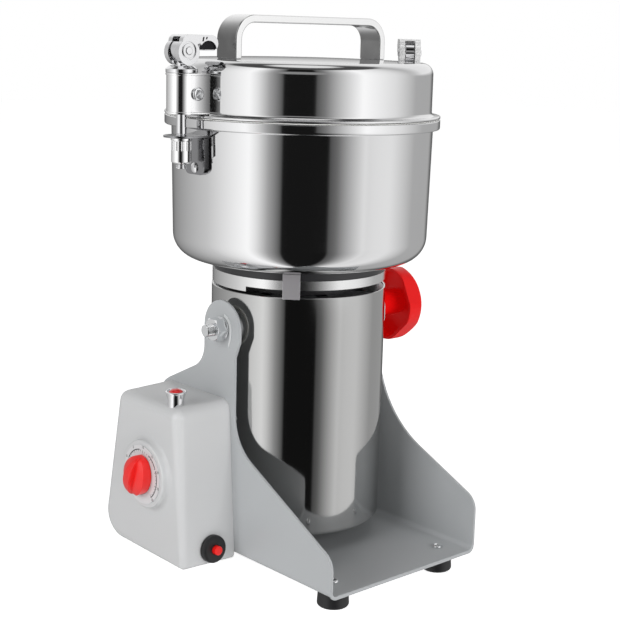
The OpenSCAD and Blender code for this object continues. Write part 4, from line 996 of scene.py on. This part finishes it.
@dataclass
class Stand:
    """The folded sheet stand with its feet and pivot hardware."""

    edge: float = 0.7 * MM  # rounding of the sheet's edges
    stud_radius: float = 5.0 * MM  # outer radius of the pivot studs' thread
    stud_chamfer: float = 0.9 * MM  # chamfer of the studs' ends
    nut_reach: float = 16.0 * MM  # how far the nut stands out from the cheek's washer side
    thread_end: float = 0.8 * MM  # plain end of the studs beyond their thread
    screw_head: float = 4.0 * MM  # radius of the foot screws' heads
    cross: Cross = Cross(2.6 * MM, 0.9 * MM, 2 * MM)  # the cross in each of them
    cross_sunk: float = 1.2 * MM  # depth of its floor under the top of the head
    cross_turn: float = 0.6  # turn of the crosses, in radians
    ear_middle: float = 200.0 * MM  # height of the pivot axis, the middle of the ears
    bead_radius: float = 11.2 * MM  # radius of the pressed bead round the left ear
    bead_width: float = 1.3 * MM  # half the bead's width
    bead_rise: float = 0.5 * MM  # how far the bead stands out
    # how far the tail's two points lie behind the bead's front and under its middle
    bead_tail: tuple[Point, ...] = ((0.2 * MM, 6 * MM), (1.8 * MM, 13 * MM))
    cheek_out: float = 80.0 * MM  # how far the cheeks' outer faces stand from the middle
    bend: float = 6.0 * MM  # outer radius of the sheet's two folds
    sheet: float = 2.0 * MM  # thickness of the sheet
    floor_top: float = 18.0 * MM  # height of the floor plate's upper face
    hem: float = 3.0 * MM  # how far the front lip reaches down from there
    lip_depth: float = 2.2 * MM  # how far the lip reaches back from the front
    lip_proud: float = 0.05 * MM  # how far the lip stands proud of the cheeks

    def build(self) -> None:
        """Makes the sheet and its fasteners."""
        sheet = ease(twin("base_frame", "stand_sheet", 0.5), self.edge, 3)
        stand_in(sheet, "stand", Finish.STAND_PAINT, "base_frame")
        self.ear_bead()
        self.front_lip()
        self.studs()
        self.foot_screws()
        eased_twin("pivot_nut", "head", Finish.ZINC, 0.35 * MM)
        eased_twin("pivot_washers", "stand", Finish.ZINC, 0.3 * MM)
        eased_twin("rubber_feet", "stand", Finish.RUBBER, 0.6 * MM)
        eased_twin("hand_knob", "clamp_knob", Finish.KNOB_RED, 0.9 * MM)
        dress_nodes(Finish.WHITE, "pivot_bushes")

    def ear_bead(self) -> None:
        """The soft pressed bead that follows the left ear's front edge, just proud of the sheet;
        its lighter paint is a painted highlight.
        """
        centre, radius = self.ear_middle, self.bead_radius
        line = arc((0, centre), radius, 105, 180, 16)
        line += [(-radius + back, centre - down) for back, down in self.bead_tail]
        sides = []
        for way in (-1, 1):
            out = way * self.bead_width
            aim = [atan2(h - centre, y) for y, h in line]
            sides.append([(y - out * cos(a), h - out * sin(a))
                          for (y, h), a in zip(line, aim)])
        band = plate("ear_bead", sides[0] + sides[1][::-1], self.bead_rise)
        modify(band, "BEVEL", width=self.bead_rise * 0.95, segments=3, limit_method="ANGLE",
               angle_limit=radians(40))
        outwards = Matrix(((0, 0, -1, 0), (1, 0, 0, 0), (0, 1, 0, 0), (0, 0, 0, 1)))
        settle(band, shift(-self.cheek_out, 0, 0) @ outwards)
        bpy.ops.object.shade_smooth_by_angle(angle=radians(60))
        stand_in(band, "stand", Finish.BEAD_PAINT)

    def front_lip(self) -> None:
        """The rolled lip along the floor plate's front edge, carried round both folds."""
        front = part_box("base_frame")[0].y
        x, middle = self.cheek_out + self.lip_proud, self.cheek_out - self.bend
        inset = self.bend - self.sheet
        half = arc((middle, self.floor_top - self.hem + self.bend), x - middle, -90, 0, 8)
        half += arc((middle, self.floor_top + inset), inset, 0, -90, 8)
        outline = half + [(-u, w) for u, w in reversed(half)]
        lip = plate("stand_front_lip", outline, self.lip_depth)
        upright = Matrix(((1, 0, 0, 0), (0, 0, 1, front), (0, 1, 0, 0), (0, 0, 0, 1)))
        ease(settle(lip, upright), self.edge, 3)
        stand_in(lip, "stand", Finish.STAND_PAINT)

    def studs(self) -> None:
        """The pivot studs, with thread and chamfer cut in their ends."""
        low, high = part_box("pivot_studs")
        piece = twin("pivot_studs", "pivot_studs_threaded")
        height = (low.z + high.z) / 2
        for side, end in ((-1, -low.x), (1, high.x)):
            reach = end - self.thread_end
            cutter = thread_cutter(self.stud_radius, reach - self.nut_reach, reach,
                                   self.stud_chamfer)
            cut(piece, cutter, facing((side, 0, 0), (0, 0, height)))
        ease(piece, 0.25 * MM)
        stand_in(piece, "head", Finish.ZINC, "pivot_studs")

    def foot_screws(self) -> None:
        """The foot screws, with a cross cut in each head."""
        low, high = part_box("foot_screws")
        head, sunk = self.screw_head, high.z - self.cross_sunk
        x = high.x - head
        turn = Matrix.Rotation(self.cross_turn, 4, "Z")
        spots = [shift(side * x, y, sunk) @ turn
                 for y in (low.y + head, high.y - head) for side in (-1, 1)]
        piece = self.cross.screws("foot_screws", 0.4 * MM, spots)
        stand_in(piece, "stand", Finish.ZINC, "foot_screws")


@dataclass
class ControlBox:
    """The box on the left cheek with its timer, lamp, reset and inlet."""

    dial_radius: float = 20.6 * MM  # radius of the scale's long arcs
    ink: float = 0.74 * MM  # width of the scale's lines
    ink_rise: float = 0.05 * MM  # thickness of the print
    dial_start: float = -50.0  # angle of the scale's first tick, in degrees
    tick_turn: float = 8.5  # angle from tick to tick, in degrees
    ticks_per_number: int = 4  # ticks from one number to the next
    tick_half: float = 0.16 * MM  # half the width of a tick
    long_tick: float = 1.9 * MM  # length of the ticks at the numbers
    short_tick: float = 1.0 * MM  # length of the other ticks
    arcs: tuple[Point, ...] = ((-52, 22), (26, 62), (98, 152))  # what the arcs cover, in degrees
    number_reach: float = 2.2 * MM  # how far outside the arcs the numbers stand
    number_size: float = 3.0 * MM  # height of the numbers' type
    # the plain numbers, from the first tick on
    numbers: tuple[str, ...] = ("30", "25", "20", "15", "10", "5", "0")
    lamp_radius: float = 8.5 * MM  # radius of the lamp's bezel at its mouth
    lamp_flare: float = 2.0 * MM  # how much narrower the bezel is at its foot
    lamp_lip: float = 0.9 * MM  # radius of its rolled lip
    lamp_sunk: float = 6 * MM  # how deep it reaches into the box
    lens_radius: float = 5.9 * MM  # radius of the lamp's lens
    lens_gap: float = 0.2 * MM  # room round the lens
    lens_rise: float = 3.6 * MM  # rise of the lens's dome
    lens_sunk: float = 10 * MM  # how deep it reaches into the box

    def build(self) -> None:
        """Makes the box's small pieces and dresses the rest."""
        dress_nodes(Finish.BOX_PAINT, "control_box")
        dress_nodes(Finish.ZINC, "box_screws")
        dress_nodes(Finish.DIAL_PAINT, "dial_plate")
        dress_nodes(Finish.WHITE, "timer_case")
        dress_nodes(Finish.RUBBER, "reset_boot")
        dress_nodes(Finish.BLACK, "breaker_body", "power_inlet")
        dress_nodes(Finish.BRASS, "inlet_pins")
        eased_twin("timer_knob", "timer", Finish.RED, 0.7 * MM)
        eased_twin("reset_button", "reset", Finish.RED, 0.8 * MM)
        self.lamp()
        self.scale()

    def lamp(self) -> None:
        """The pilot lamp: a flared chrome cup round a red dome."""
        low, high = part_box("lamp_bezel")
        x, y, top = (low.x + high.x) / 2, (low.y + high.y) / 2, high.z
        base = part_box("control_box")[1].z
        height = top - base
        mouth, lens = self.lamp_radius, self.lens_radius
        foot, sunk = mouth - self.lamp_flare, -self.lamp_sunk
        gap, lip = self.lens_gap, self.lamp_lip
        cup = [(lens + gap, sunk), (foot, sunk), (foot, 0.35 * height),
               (mouth - 0.7 * MM, height - 2.2 * MM),
               *arc((mouth - lip, height - lip), lip, 0, 110, 6),
               (lens + lip, height - 1.0 * MM), (lens + gap, height - 2.6 * MM)]
        shoulder, rise, root = height - self.lens_rise / 2, self.lens_rise, -self.lens_sunk
        round_top = [radians(d) for d in range(15, 90, 15)]
        dome = [(0, root), (lens, root), (lens, shoulder),
                *[(lens * cos(a), shoulder + rise * sin(a)) for a in round_top],
                (0, height + rise / 2)]
        spot = shift(x, y, base)
        cup_piece = settle(lathe("lamp_cup", cup, 64), spot)
        stand_in(cup_piece, "stand", Finish.CHROME, "lamp_bezel")
        dome_piece = settle(lathe("lamp_dome", dome, 48), spot)
        stand_in(dome_piece, "stand", Finish.LENS, "lamp_lens")

    def scale(self) -> None:
        """The dial's printed scale: arcs, ticks and plain numbers, as thin ink."""
        low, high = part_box("dial_plate")
        y, z, face = (low.y + high.y) / 2, (low.z + high.z) / 2, low.x
        radius, half = self.dial_radius, self.tick_half
        pieces = []
        for start, end in self.arcs:
            band = arc((0, 0), radius, start, end, 24)
            band += arc((0, 0), radius - self.ink, end, start, 24)
            pieces.append(plate("scale_arc", band, self.ink_rise))
        outer = radius - self.ink / 2
        for i in range(self.ticks_per_number * (len(self.numbers) - 1) + 1):
            numbered = i % self.ticks_per_number == 0
            inner = radius - self.ink - (self.long_tick if numbered else self.short_tick)
            outline = [(inner, -half), (outer, -half), (outer, half), (inner, half)]
            tick = plate("scale_tick", outline, self.ink_rise)
            angle = radians(self.dial_start + i * self.tick_turn)
            pieces.append(settle(tick, Matrix.Rotation(angle, 4, "Z")))
        reach = radius + self.number_reach
        for i, word in enumerate(self.numbers):
            turn = i * self.ticks_per_number * self.tick_turn
            angle = radians(self.dial_start + turn)
            pieces.append(self.number(word, reach * cos(angle), reach * sin(angle)))
        ink = join(pieces, "dial_scale")
        outwards = Matrix(((0, 0, -1, 0), (-1, 0, 0, 0), (0, 1, 0, 0), (0, 0, 0, 1)))
        settle(ink, shift(face, y, z) @ outwards)
        stand_in(ink, "stand", Finish.INK)

    def number(self, word: str, x: float, y: float) -> Piece:
        """A plain number as a thin mesh, centred on a place of the dial.

        Args:
            word: The number.
            x: The place along the dial.
            y: The place across it.

        Returns:
            The number's mesh.
        """
        pick()
        bpy.ops.object.text_add()
        text = bpy.context.object.data
        text.body = word
        text.size = self.number_size
        text.align_x = text.align_y = "CENTER"
        text.extrude = self.ink_rise / 2
        bpy.ops.object.convert(target="MESH")
        return settle(bpy.context.object, shift(x, y, self.ink_rise / 2))


@dataclass
class Latches:
    """The two cam-lever latches with their brackets, bolts and knurled nuts."""

    bolt_radius: float = 4.0 * MM  # outer radius of the eye bolts' thread
    thread_height: float = 26.0 * MM  # height of the thread's upper end over the bolts' lower ends
    thread_start: float = 0.7 * MM  # plain end of the bolts under it
    cross: Cross = Cross(3.4 * MM, 1.0 * MM, 3 * MM)  # the cross in each bracket screw's head
    cross_sunk: float = 1.2 * MM  # depth of its floor under the top of the head
    cross_turn: float = 0.5  # turn of the crosses, in radians
    lever_width: float = 18.0 * MM  # width of a cam lever
    pin_groove: float = 6.6 * MM  # outer radius of the groove round the lever's pin
    groove_width: float = 1.3 * MM  # width of that groove
    groove_depth: float = 0.9 * MM  # its depth
    # middle and half sizes of the hollow in the thumb end, in millimetres from the pin
    hollow: tuple[float, ...] = (18.0, 1.0, 7.4, 6.6)
    hollow_depth: float = 1.8 * MM  # depth of that hollow
    # corners of the two slots beside it, in millimetres from the pin
    slots: tuple[tuple[Point, ...], ...] = (
        ((12.0, 7.0), (13.3, 7.0), (14.1, 10.2), (12.8, 10.2)),
        ((15.3, 8.5), (16.5, 8.5), (17.1, 10.3), (15.9, 10.3)))
    slot_depth: float = 1.0 * MM  # depth of the slots

    def build(self) -> None:
        """Makes and dresses the latch pieces."""
        for node, body, finish, width in (
                ("upper_brackets", "lid", Finish.BRIGHT, 0.4),
                # the lower brackets' darkened steel is painted shade
                ("left_lower_bracket", "head", Finish.DARK_STEEL, 0.35),
                ("right_lower_bracket", "head", Finish.DARK_STEEL, 0.35),
                ("bracket_rivets", "head", Finish.CHROME, 0.5),
                ("cam_seats", "lid", Finish.CHROME, 0.4),
                ("lever_pins", "lid", Finish.CHROME, 0.9),
                ("left_knurled_nut", "left_nut", Finish.BRIGHT, 0.25),
                ("right_knurled_nut", "right_nut", Finish.BRIGHT, 0.25)):
            eased_twin(node, body, finish, width * MM)
        self.bolts()
        self.screws()
        self.left_lever()
        eased_twin("right_cam_lever", "right_lever", Finish.SATIN, 0.8 * MM)

    def bolts(self) -> None:
        """The eye bolts, threaded at their lower ends."""
        low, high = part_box("eye_bolts")
        piece = twin("eye_bolts", "eye_bolts_threaded")
        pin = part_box("lever_pins")
        eye = high.z - (pin[0].z + pin[1].z) / 2
        for side in (-1, 1):
            cutter = thread_cutter(self.bolt_radius, low.z + self.thread_start,
                                   low.z + self.thread_height)
            cut(piece, cutter, shift(side * (high.x - eye), 0, 0))
        ease(piece, 0.3 * MM)
        stand_in(piece, "lid", Finish.CHROME, "eye_bolts")

    def screws(self) -> None:
        """The bracket screws, with a cross cut in each head."""
        low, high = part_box("bracket_screws")
        x, z = high.x - (high.z - low.z) / 2, (low.z + high.z) / 2
        turn, sunk = Matrix.Rotation(self.cross_turn, 4, "Z"), self.cross_sunk
        spots = [facing((0, -way, 0), (side * x, face + way * sunk, z)) @ turn
                 for side in (-1, 1) for face, way in ((low.y, 1), (high.y, -1))]
        piece = self.cross.screws("bracket_screws", 0.5 * MM, spots)
        stand_in(piece, "lid", Finish.ZINC, "bracket_screws")

    def left_lever(self) -> None:
        """The near cam lever: a hollow thumb end, two slots and a groove round its pin, with
        painted shade on the recess floors.
        """
        piece = twin("left_cam_lever", "left_cam_lever_cast")
        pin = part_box("lever_pins")
        x, z = pin[0].x + (pin[1].z - pin[0].z) / 2, (pin[0].z + pin[1].z) / 2
        half = self.lever_width / 2

        def at(outline: Sequence[Point]) -> list[Point]:
            """The outline moved from the pin's middle, from millimetres to metres."""
            return [(x + px * MM, z + pz * MM) for px, pz in outline]

        across, up, long, tall = self.hollow
        turns = [radians(d) for d in range(0, 181, 15)]
        hollow = [(across + long * cos(a), up + tall * sin(a)) for a in turns]
        outer, depth = self.pin_groove, self.groove_depth
        inner = outer - self.groove_width
        section = [(inner, -depth), (outer, -depth), (outer, MM), (inner, MM)]
        recesses = [(hollow, self.hollow_depth), *[(s, self.slot_depth) for s in self.slots]]
        shade_plates = []
        for face, way in ((-half, 1), (half, -1)):
            for outline, deep in recesses:
                shade_plates.append(Pocket(at(outline), face, way * deep).cut(piece))
            ring = lathe("groove_cutter", section, 48)
            cut(piece, ring, facing((0, -way, 0), (x, face, z)))
        ease(piece, 0.55 * MM)
        stand_in(piece, "left_lever", Finish.CAST_CHROME, "left_cam_lever")
        # Dark plates on the floors of the hollow and slots: painted shade.
        stand_in(join(shade_plates, "left_lever_recess_painted_shade"), "left_lever", Finish.INK)


# ---- studio


@dataclass
class Studio:
    """Camera, floor, surrounding light and lamps."""

    azimuth: float = -42.05  # side that the camera looks from, in degrees, where 0 looks along +Y
    pitch: float = 11.74  # how far the camera looks down, in degrees
    roll: float = 1.4585  # the camera's tilt about its own line of sight, in degrees
    target: Triple = (0.0074, -0.0067, 0.2054)  # the point it looks at
    distance: float = 1.11595  # how far the camera stands from that point
    lens: float = 78.16  # focal length in millimetres
    sensor: float = 36.0  # width of the camera's sensor, in millimetres
    brightest: float = 1.4  # level that the surround's stops are scaled by
    low_shift: float = 13.0  # turn of the surround's right side below the horizon, in degrees
    low_dim: float = 0.26  # how much darker that side is there
    glimmer: float = 0.3  # level of the faint band over the horizon
    lintel: float = 0.08  # level of the dark ring under the ceiling
    ceiling: float = 0.95  # level of the ceiling and of the backdrop
    soft: float = 0.13  # level by which the surround lights dull surfaces

    def build(self) -> None:
        """Sets up the whole studio."""
        self.camera()
        self.floor()
        self.surround()
        self.lamps()

    def towards(self, azimuth: float, pitch: float) -> Vector:
        """A unit direction outwards, from an azimuth and a height angle in degrees."""
        a, e = radians(azimuth), radians(pitch)
        return Vector((sin(a) * cos(e), -cos(a) * cos(e), sin(e)))

    def aim(self, name: str, data: bpy.types.ID, out: Vector, distance: float) -> Piece:
        """Stands a camera or lamp off the target and turns it to the target.

        Args:
            name: Its name.
            data: Its camera or lamp data.
            out: The direction from the target.
            distance: How far off it stands.

        Returns:
            The camera or lamp.
        """
        made = bpy.data.objects.new(name, data)
        bpy.context.scene.collection.objects.link(made)
        made.location = Vector(self.target) + out * distance
        made.rotation_mode = "QUATERNION"
        made.rotation_quaternion = (-out).to_track_quat("-Z", "Y")
        return made

    def camera(self) -> None:
        """The camera at the viewing place."""
        data = bpy.data.cameras.new("camera")
        data.lens = self.lens
        data.sensor_width = self.sensor
        out = self.towards(self.azimuth, self.pitch)
        camera = self.aim("camera", data, out, self.distance)
        spin = Quaternion((0, 0, 1), radians(self.roll))
        camera.rotation_quaternion = (-out).to_track_quat("-Z", "Y") @ spin
        bpy.context.scene.camera = camera

    def floor(self) -> None:
        """A plain pale floor, a little brighter to the camera than it lights the mill."""
        pick()
        bpy.ops.mesh.primitive_plane_add(size=12)
        floor = bpy.context.object
        floor.name = "floor"
        floor.visible_glossy = False
        shop = Shop.fresh("pale floor")
        shop.finish(Base_Color=(0.85, 0.85, 0.85), Roughness=0.9, Specular_IOR_Level=0.0)
        seen = shop.node("ShaderNodeLightPath")["Is Camera Ray"]
        glow = shop.node("ShaderNodeEmission", Color=(1.0, 1.0, 1.0),
                         Strength=0.2 + seen * 0.64)["Emission"]
        paint = Signal(shop, shop.tree.nodes["Principled BSDF"].outputs[0])
        both = shop.node("ShaderNodeAddShader", i0=paint, i1=glow)["Shader"]
        shop.feed(shop.tree.nodes["Material Output"].inputs["Surface"], both)
        floor.data.materials.append(shop.owner)

    def surround(self) -> None:
        """Soft light from all round, darker and brighter by direction like a studio with flags.

        A strip of levels runs round the upright axis, counted in degrees from the camera's side.
        Up and down it changes by the height of the direction: a shifted and dimmer right side under
        the horizon, a faint band over it, a dark lintel high up, and a bright ceiling and backdrop.
        """
        world = bpy.data.worlds.new("studio")
        bpy.context.scene.world = world
        shop = Shop(world)
        background = shop.tree.nodes["Background"]
        sight = shop.node("ShaderNodeTexCoord")["Generated"]
        part = shop.node("ShaderNodeSeparateXYZ", Vector=sight)
        x, y, height = part["X"], part["Y"], part["Z"]
        turn = radians(self.azimuth)
        side = x * cos(turn) + y * sin(turn)
        near = x * sin(turn) - y * cos(turn)
        angle = shop.maths("ARCTAN2", side, near) * degrees(1)
        low = (height * -20 - 3.2).clamp()
        angle = angle - low * angle.between(2, 70, 0.2, 0.025) * self.low_shift
        right = angle.between(2, 85, 0.05, 0.04)
        strip = shop.node("ShaderNodeValToRGB", {"stops": self.surround_stops()},
                          Fac=angle / 360 + 0.5)["Color"]
        shade = shop.node("ShaderNodeRGBToBW", Color=strip)["Val"] * self.brightest
        shade = shade * (1 - low * right * self.low_dim)
        shade = shop.maths("MAXIMUM", shade, (height * 12).between(1.4, 6.6) * self.glimmer)
        lintel = (height * 20 - 15.6).clamp()
        shade = shade * (1 - lintel) + self.lintel * lintel
        backdrop = (height * 8).clamp() * (-0.9 - near * 3).clamp()
        high = shop.maths("MAXIMUM", (height * 30 - 28.3).clamp(), backdrop)
        mirrored = shade * (1 - high) + self.ceiling * high
        path = shop.node("ShaderNodeLightPath")
        seen, soft = path["Is Camera Ray"], path["Is Diffuse Ray"]
        level = mirrored * (1 - soft) + self.soft * soft
        shop.feed(background.inputs["Strength"], level * (1 - seen) + seen)
        background.inputs["Color"].default_value = (1, 1, 1, 1)

    def surround_stops(self) -> list[Point]:
        """The strip's stops, from the far side round by the left, the camera and the right.

        Returns:
            The stops as (place, brightness).
        """
        levels = {-180: 0.1, -163: 0.14, -150: 0.3, -90: 0.7, -46: 1.25, -39: 1.0, -28: 0.45,
                  -17: 0.12, -16: 0.01, 11: 0.01, 12.5: 0.11, 20: 0.24, 35: 0.7, 54: 1.25,
                  88: 0.93, 117: 0.5, 150: 0.46, 161: 0.14, 180: 0.1}
        return [((angle + 180) / 360, level / self.brightest) for angle, level in levels.items()]

    def lamps(self) -> None:
        """Two soft lamps at the sides and one from above, which the mill doesn't mirror.

        Each row gives the side it stands on and its height angle in degrees, its distance and side
        length in metres, and its power in watts.
        """
        for name, azimuth, height, distance, size, power in (
                ("key", -88, 22, 2.2, 1.4, 28),
                ("fill", -4, 12, 2.4, 1.4, 31),
                ("top", -20, 84, 2.0, 1.6, 7)):
            data = bpy.data.lights.new(name, "AREA")
            data.size = size
            data.energy = power
            lamp = self.aim(name, data, self.towards(azimuth, height), distance)
            lamp.visible_glossy = False
            lamp.visible_camera = False


def main() -> None:
    """Builds every sub-assembly in order, then the studio."""
    logging.basicConfig(level=logging.INFO, format="%(message)s")
    for part in (Vessel(), Motor(), Stand(), ControlBox(), Latches()):
        part.build()
        log.info("%s done", type(part).__name__)
    Studio().build()
    bpy.context.scene.view_settings.view_transform = "Standard"


if __name__ == "__main__":
    main()
